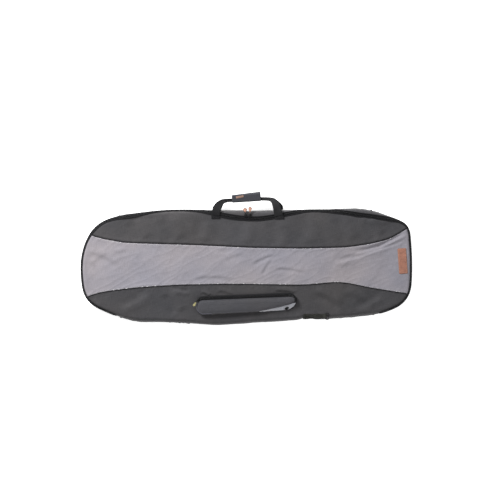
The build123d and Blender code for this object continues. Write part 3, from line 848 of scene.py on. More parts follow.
def build_lid_inside():
    """Padded lining on the inside of the lid."""
    rows = 40
    xs = COLUMNS[::2]
    bottom, top = edge_bottom(xs) + 0.004, edge_top(xs) - 0.004
    y = bottom + (np.maximum(top, bottom) - bottom) * eased(rows)[:, None]
    x = np.broadcast_to(xs, y.shape)
    inset = inset_at(x, y)
    z = shoulder_height(np.maximum(inset, 0)) - 0.0115 - 0.0016 * quilting(x, y)
    z = np.minimum(z + 0.0014 * noise_at(x, y, 6, 6, 2.2), front_points(x, y)[..., 2] - 0.0115)
    points = np.stack([x, y, z], -1)
    uv = np.stack([x, y], -1)
    faces = grid_faces(rows, len(xs))[:, ::-1]
    pad = make_object("lid_lining_pad", points, faces, LINING, uv, weld=MERGE)
    thicken(pad, 0.0045, offset=-1.0)
    over_fold(pad, ["lid_foam", "lid_lining"])


# --- gusset and back ----------------------------------------------------------------
def rim_range(name):
    """Rim samples of one gusset length, in order."""
    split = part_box("gusset_top")[1].x
    x, y = RIM[:, 0], RIM[:, 1]
    chosen = {
        "gusset_top": (np.abs(x) <= split) & (y > 0),
        "gusset_bottom": (np.abs(x) <= split) & (y < 0),
        "gusset_left_end": x < -split,
        "gusset_right_end": x > split,
    }[name]
    picked = np.flatnonzero(chosen)
    jump = np.flatnonzero(np.diff(picked) > 1)
    if len(jump):
        picked = np.concatenate([picked[jump[0] + 1 :], picked[: jump[0] + 1] + COUNT])
    return np.arange(picked[0], picked[-1] + 2)


def side_wrinkles(index, station):
    """How far the gusset cloth stands in or out: slack folds, puckers under the zip and at the base."""
    along = (index % COUNT) * RIM_STEP
    turn = along / RIM_LENGTH * 2 * math.pi
    ring_x, ring_y = np.cos(turn) * RIM_LENGTH / 6.28, np.sin(turn) * RIM_LENGTH / 6.28
    depth = station - BAND_S[index % COUNT]
    rise = PROFILE_END - station
    slack = np.sin(np.clip(depth / (depth + rise + 1e-9), 0, 1) * math.pi)
    values = []
    for a, b, s in zip(np.ravel(ring_x), np.ravel(ring_y), np.ravel(station)):
        broad = noise.noise((a * 9, b * 9, s * 14))
        upright = noise.noise((a * 34, b * 34, s * 9 + 4))
        ridge = max(0.0, 1 - abs(noise.noise((a * 17, b * 17, s * 42 + 9))) * 2.4) ** 2
        values.append(0.0030 * broad + 0.0013 * upright + 0.0015 * ridge - 0.0008)
    values = np.array(values).reshape(np.shape(station))
    pucker = np.exp(-((depth / 0.007) ** 2)) + np.exp(-((rise / 0.007) ** 2))
    ripple = np.sin(along * 2 * math.pi / 0.017 + 3 * np.sin(along * 23)) * 0.0006
    return values * slack - 0.0008 * slack + ripple * pucker * (0.4 + 0.6 * np.sin(along * 9) ** 2)


def build_gusset():
    """Outer cloth of the side wall, in four lengths."""
    rows = 44
    for name in ("gusset_top", "gusset_bottom", "gusset_left_end", "gusset_right_end"):
        index = rim_range(name)
        share = eased(rows, 0.7)[:, None]
        start = BAND_S[index % COUNT]
        station = start + (PROFILE_END - start) * share
        index = np.broadcast_to(index, station.shape)
        points = skin(index, station, side_wrinkles(index, station))
        uv = np.stack([index * RIM_STEP, station], -1)
        piece = make_object(name + "_cloth", points, grid_faces(rows, index.shape[1]), DARK, uv)
        thicken(piece, 0.0016)
        ride(piece, "tub", [name])


def build_gusset_inside():
    """Lining of the side wall, from the rim to the back."""
    rows = 20
    index = np.arange(0, COUNT, 2)
    start = BAND_S[index] + 0.002
    station = start + (PROFILE_END - 0.003 - start) * eased(rows, 0.4)[:, None]
    index = np.broadcast_to(index, station.shape)
    points = skin(index, station, -WALL)
    points[..., 2] += 0.0010 * noise_at(index * RIM_STEP, station, 14, 20, 5.5)
    uv = np.stack([index * RIM_STEP, station], -1)
    faces = grid_faces(rows, index.shape[1], closed=True)[:, ::-1]
    inside = make_object("gusset_lining", points, faces, LINING, uv)
    thicken(inside, 0.0012, offset=1.0)
    ride(inside, "tub")


def plan_disc(inset, rings=34):
    """Plan points inside the outline as rings shrinking to a spine, with their share inwards."""
    rim = (RIM - RIM_OUT * inset)[::4]
    spine = np.stack([np.clip(rim[:, 0], -0.52, 0.52), np.zeros(len(rim))], 1)
    share = (np.linspace(0, 1, rings) ** 1.25)[:, None, None]
    return rim[None] * (1 - share) + spine[None] * share


def build_back():
    """Outer back cloth, raised along its edge, and the padded floor inside."""
    plan = plan_disc(BASE_INSET)
    rings, count = plan.shape[:2]
    inset = inset_at(plan[..., 0], plan[..., 1]) - BASE_INSET
    z = 0.0022 * np.exp(-((inset / 0.006) ** 2)) + 0.0019
    z = z + 0.0010 * np.exp(-(((np.abs(plan[..., 1]) - 0.105) / 0.002) ** 2))
    points = np.concatenate([plan, z[..., None]], -1)
    faces = grid_faces(rings, count, closed=True)[:, ::-1]
    outer = make_object("back_cloth", points, faces, BACK, plan, weld=MERGE)
    thicken(outer, 0.0016)
    ride(outer, "tub", ["back_panel"])

    floor_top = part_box("back_lining")[1].z
    plan = plan_disc(BASE_INSET + WALL + 0.001, rings=60)
    rings, count = plan.shape[:2]
    inset = inset_at(plan[..., 0], plan[..., 1]) - BASE_INSET - WALL
    x, y = plan[..., 0], plan[..., 1]
    z = floor_top - 0.0025 * np.exp(-((inset / 0.008) ** 2)) - 0.0018 + 0.0018 * quilting(x, y)
    points = np.concatenate([plan, z[..., None]], -1)
    floor_pad = make_object("back_floor_pad", points, grid_faces(rings, count, closed=True)[:, ::-1], LINING,
                            plan, weld=MERGE)
    thicken(floor_pad, 0.004, offset=-1.0)
    ride(floor_pad, "tub", ["back_foam", "back_lining"])


def rim_line(station, proud, index=None):
    """A line round the bag at a distance down the profile, with its outward normals."""
    index = np.arange(COUNT) if index is None else index
    station = np.broadcast_to(station, index.shape)
    points = skin(index, station, proud)
    return points, skin(index, station, proud + 0.01) - points


def build_trim():
    """Edge cords and rows of stitching round the base and under the zip."""
    base, normals = rim_line(PROFILE_END - 0.0005, 0.0006)
    cord = tube("base_edge_cord", base, normals, 0.0024, BINDING, closed=True)
    ride(cord, "tub")
    line, normals = rim_line(PROFILE_END - 0.0065, 0.0009)
    ride(stitches("base_stitching", line, normals, THREAD_DARK), "tub")
    line, normals = rim_line(BAND_S + 0.0035, 0.0007)
    ride(stitches("gusset_top_stitching", line, normals, THREAD_DARK), "tub")
    for name, corner in (("left", -1), ("right", 1)):
        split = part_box("gusset_top")[1].x * corner
        for side, word in ((1, "handle"), (-1, "hinge")):
            place = np.argmin(np.abs(RIM[:, 0] - split) + (RIM[:, 1] * side < 0) * 9)
            station = np.linspace(PROFILE_BULGE - 0.016, PROFILE_END - 0.001, 40)
            points = skin(np.full(40, float(place)), station, 0.0012)
            normals = skin(np.full(40, float(place)), station, 0.0112) - points
            seam = tube(f"gusset_seam_{name}_{word}", points, normals, 0.0042, BINDING, sides=10, flat=0.16)
            ride(seam, "tub")


# --- main zip -----------------------------------------------------------------------
def zip_index():
    """Rim samples where the main zip runs, from its left end round to its right end."""
    has = HAS_ZIP > 0.5
    start = np.flatnonzero(has & ~np.roll(has, 1))[0]
    picked = (np.arange(COUNT) + start) % COUNT
    count = np.flatnonzero(~has[picked])[0]
    return start + np.arange(count)


def band_sheet(name, index, start, end, proud, material, columns=7):
    """A strip of zip tape between two distances down the profile."""
    share = np.linspace(0, 1, columns)[:, None]
    station = start + (end - start) * share
    grid = np.broadcast_to(index, station.shape)
    points = skin(grid, station, proud)
    uv = np.stack([grid * RIM_STEP, station - start], -1)
    piece = make_object(name, points, grid_faces(columns, len(index)), material, uv)
    return thicken(piece, 0.0011)


def teeth(name, middle, index, toward, material):
    """One row of coil turns; toward is -1 for the lid's half and 1 for the tub's."""
    walk = np.arange(index[0], index[-1], TOOTH_PITCH / RIM_STEP)
    walk = walk + (0.5 * TOOTH_PITCH / RIM_STEP if toward > 0 else 0)
    centre_s = np.interp(walk, index, middle)
    reach = (0.0034, 0.0024, 0.0006, -0.0007, 0.0006, 0.0024, 0.0034)
    rise = (0.0000, 0.0013, 0.0018, 0.0008, -0.0004, -0.0006, -0.0002)
    vertices, faces = [], []
    sideways = np.array([-1.0, 0.0, 1.0, 0.0]) * 0.00075
    upward = np.array([0.0, 1.0, 0.0, -1.0]) * 0.00060
    for a, s in zip(walk, centre_s):
        first = len(vertices)
        stations = s + toward * np.array(reach)
        for station, lift in zip(stations, rise):
            spots = a + sideways / RIM_STEP
            vertices.extend(skin(spots, np.full(4, station), 0.0006 + lift + upward))
        faces += rod_faces(first, len(reach), 4)
    return make_object(name, np.array(vertices), faces, material)


def build_zip():
    """Both halves of the main zip and the tabs over its ends."""
    index = zip_index()
    start, end = EDGE_S[index % COUNT], BAND_S[index % COUNT]
    middle = (start + end) / 2
    lid_tape = band_sheet("lid_zip_tape_cloth", index, start - 0.003, middle - 0.0003, 0.0001, TAPE)
    tub_tape = band_sheet("gusset_zip_tape_cloth", index, middle + 0.0003, end + 0.003, 0.0001, TAPE)
    ride(lid_tape, "lid", ["lid_zip_tape"])
    ride(tub_tape, "tub", ["gusset_zip_tape"])
    ride(teeth("lid_zip_teeth", middle, index, -1, COIL), "lid", ["lid_zip_coil"])
    ride(teeth("gusset_zip_teeth", middle, index, 1, COIL), "tub", ["gusset_zip_coil"])
    for word, at_s, body in (("lid", start - 0.0012, "lid"), ("gusset", end + 0.0012, "tub")):
        line, normals = rim_line(at_s, 0.0012, index=index)
        piping = tube(f"{word}_zip_piping", line, normals, 0.0021, BINDING, flat=0.7)
        ride(piping, body)
    for word, ends in (("left", index[:14]), ("right", index[-14:])):
        ends = ends[0] - 3 + np.arange(18)
        top, foot = EDGE_S[ends % COUNT] - 0.001, BAND_S[ends % COUNT].max() + 0.002
        tab = band_sheet(f"zip_end_tab_{word}_cloth", ends, top, np.full(len(ends), foot), 0.0016, STRAP,
                         columns=9)
        ride(tab, "tub", [f"zip_end_tab_{word}"])
    edge, normals = rim_line(EDGE_S[index % COUNT] - 0.0032, 0.0014, index=index)
    ride(stitches("lid_edge_stitching", edge, normals, THREAD_DARK), "lid")


# --- shaped plates and straps -------------------------------------------------------
def extruded(name, outline_points, bottom, top, material, place=None, bevel=0.0004):
    """A plate of the given plan outline with rounded edges, moved by a matrix."""
    count = len(outline_points)
    vertices = [(x, y, z) for z in (bottom, top) for x, y in outline_points]
    faces = [list(range(count))[::-1], [count + k for k in range(count)]]
    faces += [[k, (k + 1) % count, count + (k + 1) % count, count + k] for k in range(count)]
    piece = make_object(name, vertices, faces, material)
    piece.data.polygons.foreach_set("use_smooth", [False] * len(piece.data.polygons))
    rounding = piece.modifiers.new("edges", "BEVEL")
    rounding.width = bevel
    rounding.segments = 3
    rounding.limit_method = "ANGLE"
    rounding.angle_limit = math.radians(40)
    freeze(piece)
    piece.data.polygons.foreach_set("use_smooth", [True] * len(piece.data.polygons))
    if place is not None:
        piece.data.transform(place)
    return piece


def rounded_loop(half_x, half_y, radius, count):
    """Evenly spaced points and outward normals of a rounded rectangle, clockwise from the top middle."""
    turns = np.linspace(0, math.pi / 2, 24)
    corners = ((1, 1, 0), (1, -1, 1), (-1, -1, 2), (-1, 1, 3))
    points = []
    for sx, sy, quarter_turn in corners:
        angles = math.pi / 2 - turns - quarter_turn * math.pi / 2
        centre = np.array([sx * (half_x - radius), sy * (half_y - radius)])
        points.append(centre + radius * np.stack([np.cos(angles), np.sin(angles)], 1))
    loop = resample(np.concatenate(points), count)
    return loop, outward(loop)


def through(points, count):
    """A smooth line through points, evenly sampled in its parameter."""
    points = np.asarray(points, float)
    ends = np.concatenate([[2 * points[0] - points[1]], points, [2 * points[-1] - points[-2]]])
    result = []
    for t in np.linspace(0, len(points) - 1, count):
        k = min(int(t), len(points) - 2)
        f = t - k
        a, b, c, d = ends[k : k + 4]
        result.append(0.5 * (2 * b + (c - a) * f + (2 * a - 5 * b + 4 * c - d) * f**2
                             + (3 * b - a - 3 * c + d) * f**3))
    return np.array(result)


def ribbon(name, centres, ways, widths, material, thickness=0.0022, count=60, curl=0.0):
    """A flat strap through centres; ways are its width directions."""
    columns = 11
    centre = through(centres, count)
    way = unit(through(ways, count))
    width = through(np.array(widths, float)[:, None], count)
    tangent = unit(np.gradient(centre, axis=0))
    way = unit(way - tangent * (way * tangent).sum(1, keepdims=True))
    normal = np.cross(tangent, way)
    across = np.linspace(-0.5, 0.5, columns)
    points = centre[:, None] + way[:, None] * across[None, :, None] * width[:, None]
    points = points - normal[:, None] * (curl * (2 * across) ** 2)[None, :, None]
    walked = np.concatenate([[0], np.cumsum(np.linalg.norm(np.diff(centre, axis=0), axis=1))])
    uv = np.stack([np.tile(walked[:, None], (1, columns)), across[None] * width + 0.5], -1)
    piece = make_object(name, points, grid_faces(count, columns), material, uv)
    return thicken(piece, thickness, offset=0.0)


def skin_height(x, y):
    """Height of the bare front skin at one plan point."""
    return float(front_points(np.array([x]), np.array([y]))[0, 2])


# --- carry handle -------------------------------------------------------------------
GRIP_LOW, GRIP_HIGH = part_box("grip_pad")
GRIP_CENTRE = (GRIP_LOW + GRIP_HIGH) / 2
GRIP_SIZE = GRIP_HIGH - GRIP_LOW
GRIP_TURN = math.radians(3.6)
GRIP_PLACE = Matrix.Translation(GRIP_CENTRE + Vector((0, 0.002, 0))) @ Matrix.Rotation(GRIP_TURN, 4, "Z")
# Plan line of each front leg from its foot to the grip, with its strap width.
LEFT_LEG = ((-0.1305, 0.2085, 0.038), (-0.1300, 0.2240, 0.037), (-0.1275, 0.2430, 0.037),
            (-0.1185, 0.2660, 0.033), (-0.1010, 0.2835, 0.023), (-0.0808, 0.2890, 0.018),
            (-0.0560, 0.2899, 0.018))
RIGHT_LEG = ((0.1505, 0.2010, 0.041), (0.1475, 0.2160, 0.039), (0.1435, 0.2340, 0.037),
             (0.1385, 0.2580, 0.035), (0.1285, 0.2800, 0.028), (0.1100, 0.2912, 0.018),
             (0.0690, 0.2938, 0.018))


def leg_ways(leg, side):
    """Width directions of a leg: flat on the bag, turned with the path, half on edge at the grip."""
    ways = []
    for k in range(len(leg)):
        before, after = leg[max(k - 1, 0)], leg[min(k + 1, len(leg) - 1)]
        dx, dy = after[0] - before[0], after[1] - before[1]
        size = math.hypot(dx, dy)
        share = max(0.0, (k - 2) / (len(leg) - 3))
        ways.append((dy / size, -dx / size, -side * 0.75 * share))
    return ways


def build_handle():
    """Front and back straps with their sewn feet and the lengths inside the grip."""
    for word, leg, side in (("left", LEFT_LEG, -1), ("right", RIGHT_LEG, 1)):
        ways = leg_ways(leg, side)
        start = [skin_height(p[0], p[1]) + 0.0035 for p in leg[:2]]
        heights = start + [0.1060, 0.1000, 0.0830, 0.0640, 0.0575]
        centres = [(p[0], p[1], z) for p, z in zip(leg, heights)]
        widths = [p[2] for p in leg]
        front = ribbon(f"front_strap_{word}", centres[1:], ways[1:], widths[1:], STRAP, curl=0.0006)
        join(front,
             [f"front_strap_{word}_leg"])
        build_front_foot(word, leg)

        low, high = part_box("back_handle_feet")
        x = low.x + 0.019 if side < 0 else high.x - 0.019
        root = (x, high.y + 0.001, 0.016)
        back_line = [root, (x, 0.258, 0.0175)]
        back_line += [(p[0], p[1], z) for p, z in zip(leg[4:], (0.0330, 0.0470, 0.0528))]
        back_ways = [(1, 0, 0), (1, 0, 0)] + ways[4:]
        back = ribbon(f"back_strap_{word}", back_line, back_ways, [0.038, 0.038] + widths[4:], STRAP)
        join(back,
             [f"back_strap_{word}_leg"])
    build_back_feet()
    for word, z, body in (("front", 0.0022, "front_handle"), ("back", -0.0022, "back_handle")):
        half = GRIP_SIZE.x / 2
        line = [(-half, -0.003, z), (-half / 3, -0.001, z), (half / 3, 0.001, z), (half, 0.002, z)]
        core = ribbon(f"{word}_strap_middle", line, [(0, 1, 0)] * 4, [0.019, 0.021, 0.021, 0.019], STRAP)
        core.data.transform(GRIP_PLACE)
        ride(core, body, [f"{word}_strap_core"])


def build_front_foot(word, leg):
    """The strap's end sewn to the lid, with a box of stitching."""
    (ax, ay, width), (bx, by, _) = leg[0], leg[1]
    by = by + 0.006
    share = np.linspace(0, 1, 16)[:, None]
    across = np.linspace(-0.5, 0.5, 13)[None, :]
    x = ax + (bx - ax) * share + across * width
    y = ay + (by - ay) * share + 0 * across
    uv = np.stack([share * (by - ay) + 0 * across, across * width + 0.5 + 0 * share], -1)
    points = front_points(x, y, 0.0030)
    foot = make_object(f"front_handle_foot_{word}", points, grid_faces(16, 13), STRAP, uv)
    thicken(foot, 0.0024)
    ride(foot, "lid")
    inner = 0.004
    corners = [(-width / 2 + inner, inner), (width / 2 - inner, inner), (width / 2 - inner, by - ay - 0.002),
               (-width / 2 + inner, by - ay - 0.002)]
    path = corners + [corners[0], corners[2], corners[1], corners[3]]
    line = []
    for (ux, uy), (vx, vy) in zip(path, path[1:]):
        for t in np.linspace(0, 1, 9)[:-1]:
            line.append((ux + (vx - ux) * t, uy + (vy - uy) * t))
    line = np.array(line)
    sx = ax + (bx - ax) * line[:, 1] / (by - ay) + line[:, 0]
    at = front_points(sx, ay + line[:, 1], 0.0033)
    thread = stitches(f"front_foot_stitching_{word}", at, upward(len(at)), THREAD_DARK)
    ride(thread, "lid", ["front_handle_feet"] if word == "left" else ())


def build_back_feet():
    """The back strap's ends sewn low on the side wall."""
    low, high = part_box("back_handle_feet")
    for word, x in (("left", low.x + 0.019), ("right", high.x - 0.019)):
        middle = np.argmin(np.hypot(RIM[:, 0] - x, RIM[:, 1] - 0.25))
        index = middle + np.linspace(-0.019, 0.019, 13) / RIM_STEP
        station = np.linspace(PROFILE_END - 0.024, PROFILE_END - 0.002, 10)[:, None] + 0 * index[None]
        grid = np.broadcast_to(index, station.shape)
        points = skin(grid, station, 0.0030)
        uv = np.stack([station, (grid - index[0]) * RIM_STEP + 0.481], -1)
        foot = make_object(f"back_handle_foot_{word}", points, grid_faces(10, 13), STRAP, uv)
        thicken(foot, 0.0024)
        ride(foot, "tub", ["back_handle_feet"] if word == "left" else ())


def grip_shell(share_x, angle, proud=0.0):
    """Point on the wrap: share along it from -1 to 1 and angle round it."""
    half_y, half_z = GRIP_SIZE.y / 2 - 0.001, GRIP_SIZE.z / 2 + 0.0002
    waist = 0.94 + 0.07 * share_x - 0.04 * np.abs(share_x) ** 6
    c, s = np.cos(angle), np.sin(angle)
    y = np.sign(c) * np.abs(c) ** 0.7 * (half_y * waist + proud)
    z = np.sign(s) * np.abs(s) ** 0.62 * (half_z * (0.98 + 0.02 * waist) + proud)
    return share_x * GRIP_SIZE.x / 2, y, z


def build_grip():
    """Padded wrap with an open bore, its closing strips, overlapping flap and blank tab."""
    steps, around = 46, 56
    angle = np.linspace(0, 2 * math.pi, around, endpoint=False)[None, :]
    share = np.concatenate([[-0.97], [-1.0], np.linspace(-0.985, 0.985, steps), [1.0], [0.97]])
    pull = np.concatenate([[-0.0042], [-0.0018], np.zeros(steps), [-0.0018], [-0.0042]])
    share, pull = share[:, None], pull[:, None]
    x, y, z = grip_shell(share + 0 * angle, angle + 0 * share, pull)
    dent = 0.0006 * noise_at(x, y + z * 2, 60, 60, 4.4) * (np.abs(share) < 0.99)
    points = np.stack([x, y * (1 + dent * 30), z * (1 + dent * 20)], -1)
    bore_share = np.linspace(0.97, -0.97, 8)[:, None]
    bx = bore_share * GRIP_SIZE.x / 2 + 0 * angle
    bore = np.stack([bx, 0.0155 * np.cos(angle) + 0 * bx, 0.0040 * np.sin(angle) + 0 * bx], -1)
    rings = np.concatenate([points, bore])
    rows = len(rings)
    faces = grid_faces(rows, around, closed=True).tolist()
    faces += end_to_start(rows, around)
    walk = np.arange(rows)[:, None] * 0.0028 + 0 * angle
    uv = np.stack([walk, angle * 0.014 + 0 * walk], -1)
    pad = make_object("grip_wrap", rings, faces, GRIP, uv)
    pad.data.transform(GRIP_PLACE)
    ride(pad, "front_handle", ["grip_pad"])

    def strip(name, low_y, high_y, z, reach, material, thickness, round_edge=0.0):
        share = np.linspace(-1, 1, 44)[None, :] * reach
        y = np.linspace(low_y, high_y, 22)[:, None]
        flare = 1 + 0.11 * share
        xx, yy = share * GRIP_SIZE.x / 2 + 0 * y, y * flare
        drop = round_edge * np.clip((yy - 0.0135) / 0.006, 0, 1) ** 2
        zz = z - drop + 0.0003 * noise_at(xx, yy, 70, 70, 9.1)
        points, uv = np.stack([xx, yy, zz], -1), np.stack([xx, yy], -1)
        made = thicken(make_object(name, points, grid_faces(22, 44), material, uv), thickness)
        made.data.transform(GRIP_PLACE)
        return made

    top = GRIP_SIZE.z / 2
    hook = strip("grip_hooks", -0.0125, 0.008, top + 0.0010, 0.88, HOOKS, 0.0008)
    ride(hook, "front_handle", ["grip_hook_strip"])
    loop = strip("grip_loops", -0.0125, 0.008, top + 0.0020, 0.88, HOOKS, 0.0008)
    ride(loop, "grip_wrap_flap", ["grip_loop_strip"])
    flap = strip("grip_flap_cloth", -0.0150, 0.0215, top + 0.0040, 1.0, GRIP, 0.0016, round_edge=0.0085)
    join(flap,
         ["grip_flap"])
    line = np.stack([np.linspace(-0.060, 0.060, 60), np.full(60, -0.0130), np.full(60, top + 0.0042)], 1)
    line = np.array([GRIP_PLACE @ Vector(p) for p in line])
    thread = stitches("grip_flap_stitching", line, upward(60), THREAD_DARK)
    ride(thread, "grip_wrap_flap")

    low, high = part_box("grip_label")
    tab_loop, _ = rounded_loop((high.x - low.x) / 2, (high.y - low.y) / 2, 0.0012, 60)
    spot = Vector(((low.x + high.x) / 2, (low.y + high.y) / 2 + 0.0005, GRIP_CENTRE.z + top + 0.0038))
    place = Matrix.Translation(spot) @ Matrix.Rotation(GRIP_TURN * 2.6, 4, "Z")
    tab = extruded("grip_tab_blank", tab_loop, 0.0, 0.0011, TAN_TAB, place)
    ride(tab, "grip_wrap_flap", ["grip_label"])


# --- zip sliders and pulls ----------------------------------------------------------
def slider(name, place, length, width, bridge_end, arch_height=0.0044):
    """A slider: a waisted top plate and an arched bridge towards bridge_end, on its local Y."""
    half, wide = length / 2, width / 2
    plate = [(-half, -wide * 0.62), (-half * 0.55, -wide), (half * 0.45, -wide * 0.86), (half, -wide * 0.5),
             (half, wide * 0.5), (half * 0.45, wide * 0.86), (-half * 0.55, wide), (-half, wide * 0.62)]
    body = extruded(name, plate, 0.0, 0.0024, BLACK_METAL, place, 0.0007)
    facing = math.copysign(1.0, bridge_end)
    low = arch_height - 0.0008
    arch = through([(0, -facing * wide * 0.45, 0.0015), (0, -facing * wide * 0.30, low),
                    (0, bridge_end * 0.5, arch_height), (0, bridge_end, low),
                    (0, bridge_end + facing * 0.0006, 0.0014)], 26)
    arch = np.array([place @ Vector(p) for p in arch])
    side = np.tile(np.array(place.to_3x3() @ Vector((1, 0, 0))), (len(arch), 1))
    bridge = tube(name + "_bridge", arch, np.cross(side, np.gradient(arch, axis=0)), 0.0017, BLACK_METAL,
                  sides=10, flat=0.6)
    bridge.parent = body
    return body


def teardrop(name, place, length, width, material):
    """A cast pull: narrow at the eye, round at the end, with a raised rim and a sunk face. A copper pull's
    rim is a darker copy of its copper, painted shade round the edge.
    """
    tip = length - width / 2
    turns = np.linspace(-0.15, math.pi + 0.15, 26)
    outline_points = [(width / 2 * math.cos(a), tip + width / 2 * math.sin(a)) for a in turns]
    outline_points += [(-0.0024, 0.002), (-0.0022, 0.0), (0.0022, 0.0), (0.0024, 0.002)]
    body = extruded(name, outline_points, -0.0011, 0.0008, material, place, 0.0005)
    inner = np.array([(x * 0.84, (y - tip * 0.62) * 0.84 + tip * 0.62, 0.0010) for x, y in outline_points])
    inner = np.array([place @ Vector(p) for p in resample(inner, 60)])
    rim = tube(name + "_rim", inner, np.tile(np.array(place.to_3x3() @ Vector((0, 0, 1.0))), (60, 1)), 0.0006,
               COPPER_SHADED if material is COPPER_LIT else GOLD, closed=True, sides=8)
    rim.parent = body
    return body


def eye(name, place, reach, width):
    """The wire eye between a slider's bridge and its pull."""
    loop, _ = rounded_loop(width / 2, reach / 2, width * 0.42, 40)
    line = np.array([place @ Vector((x, y + reach / 2 - 0.0006, 0)) for x, y in loop])
    up = np.tile(np.array(place.to_3x3() @ Vector((0, 0, 1.0))), (40, 1))
    return tube(name, line, up, 0.0009, BLACK_METAL, closed=True, sides=8)


def build_main_pulls():
    """Both sliders of the main zip with their eyes and teardrop pulls."""
    for word, lean, length, width in (("left", 7, 0.0196, 0.0168), ("right", -5, 0.0241, 0.0150)):
        pivot = Vector(JOINTS[f"{word}_pull_swing"]["pos_m"])
        base = Matrix.Translation((pivot.x, pivot.y - 0.0105, pivot.z - 0.0052))
        turn = Matrix.Rotation(math.pi / 2 if word == "left" else -math.pi / 2, 4, "Z")
        body = slider(f"main_slider_{word}", base @ turn @ Matrix.Rotation(-math.pi / 2, 4, "Z"),
                      0.0125, 0.0190, 0.0085 if word == "left" else -0.0085)
        ride(body, f"slider_{word}_body", [f"slider_{word}"])
        swing = Matrix.Translation(pivot) @ Matrix.Rotation(math.radians(lean), 4, "Z")
        swing = swing @ Matrix.Rotation(math.radians(-9), 4, "X")
        wire = eye(f"main_pull_eye_{word}", swing, 0.0085, 0.0072)
        ride(wire, f"pull_{word}", [f"pull_bail_{word}"])
        root = swing @ Matrix.Translation((0, 0.0040, 0.0004))
        drop = teardrop(f"main_pull_{word}", root, length, width, COPPER_LIT)
        ride(drop, f"pull_{word}", [f"pull_tab_{word}"])


# --- front pocket -------------------------------------------------------------------
POCKET_LOW, POCKET_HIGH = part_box("pocket_gusset")
POCKET_CENTRE = (POCKET_LOW + POCKET_HIGH) / 2
POCKET_TURN = math.radians(1.2)
POCKET_FACE_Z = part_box("pocket_face")[0].z
POCKET_COUNT = 360
POCKET_ZIP_WIDTH = 0.0170


def pocket_loops():
    """The pocket's base line, outward normals and the inset of its face's edge all the way round."""
    half_x = (POCKET_HIGH.x - POCKET_LOW.x) / 2 - 0.0048
    half_y = (POCKET_HIGH.y - POCKET_LOW.y) / 2 + 0.0012
    loop, normal = rounded_loop(half_x, half_y, 0.033, POCKET_COUNT)
    u = loop[:, 0]
    has_zip = (normal[:, 1] > 0.25) | ((u > 0) & (normal[:, 1] > -0.30))
    top = np.clip((normal[:, 1] - 0.4) / 0.4, 0, 1)
    inset = np.where(has_zip, 0.0070 + (POCKET_ZIP_WIDTH - 0.0070) * top, 0.0026)
    wedge = np.clip((u - 0.062) / 0.125, 0, 1) * (normal[:, 1] < -0.30)
    inset = inset + 0.0225 * wedge
    has_zip = blur(has_zip.astype(float), 2.0)
    return loop, normal, blur(inset, 4.0), has_zip


def pocket_place(u, v):
    """Plan points of pocket points measured from its centre."""
    c, s = math.cos(POCKET_TURN), math.sin(POCKET_TURN)
    squeeze = 1 - 0.10 * np.clip((u + 0.05) / 0.27, -0.3, 1)
    v = np.where(v < 0, v * squeeze, v)
    v = v + 0.010 * np.clip((u - 0.150) / 0.070, 0, 1) ** 2 * np.clip(0.6 - v / 0.04, 0, 1)
    return POCKET_CENTRE.x - 0.0048 + u * c - v * s, POCKET_CENTRE.y + 0.0005 + u * s + v * c


def pocket_grid(rows_inset, rows_z, loop, normal):
    """Points of rows of the pocket's outline, each with its own inset and height."""
    rows = []
    for inset, z in zip(rows_inset, rows_z):
        u = loop[:, 0] - normal[:, 0] * inset
        v = loop[:, 1] - normal[:, 1] * inset
        x, y = pocket_place(u, v)
        rows.append(np.stack([x, y, np.broadcast_to(z, x.shape)], -1))
    return np.array(rows)


def pocket_ring(rows_inset, rows_z, loop, normal, name, material, select, thickness):
    """A skin over the chosen samples of such rows."""
    grid = pocket_grid(rows_inset, rows_z, loop, normal)
    step = np.linalg.norm(loop[1] - loop[0])
    along = np.broadcast_to(np.arange(len(loop)) * step, grid.shape[:2])
    down = np.concatenate([[0 * grid[0, :, 0]],
                           np.cumsum(np.linalg.norm(np.diff(grid, axis=0), axis=2), axis=0)])
    uv = np.stack([along, down], -1)[:, select]
    faces = grid_faces(len(grid), len(select))[:, ::-1]
    return thicken(make_object(name, grid[:, select], faces, material, uv), thickness)


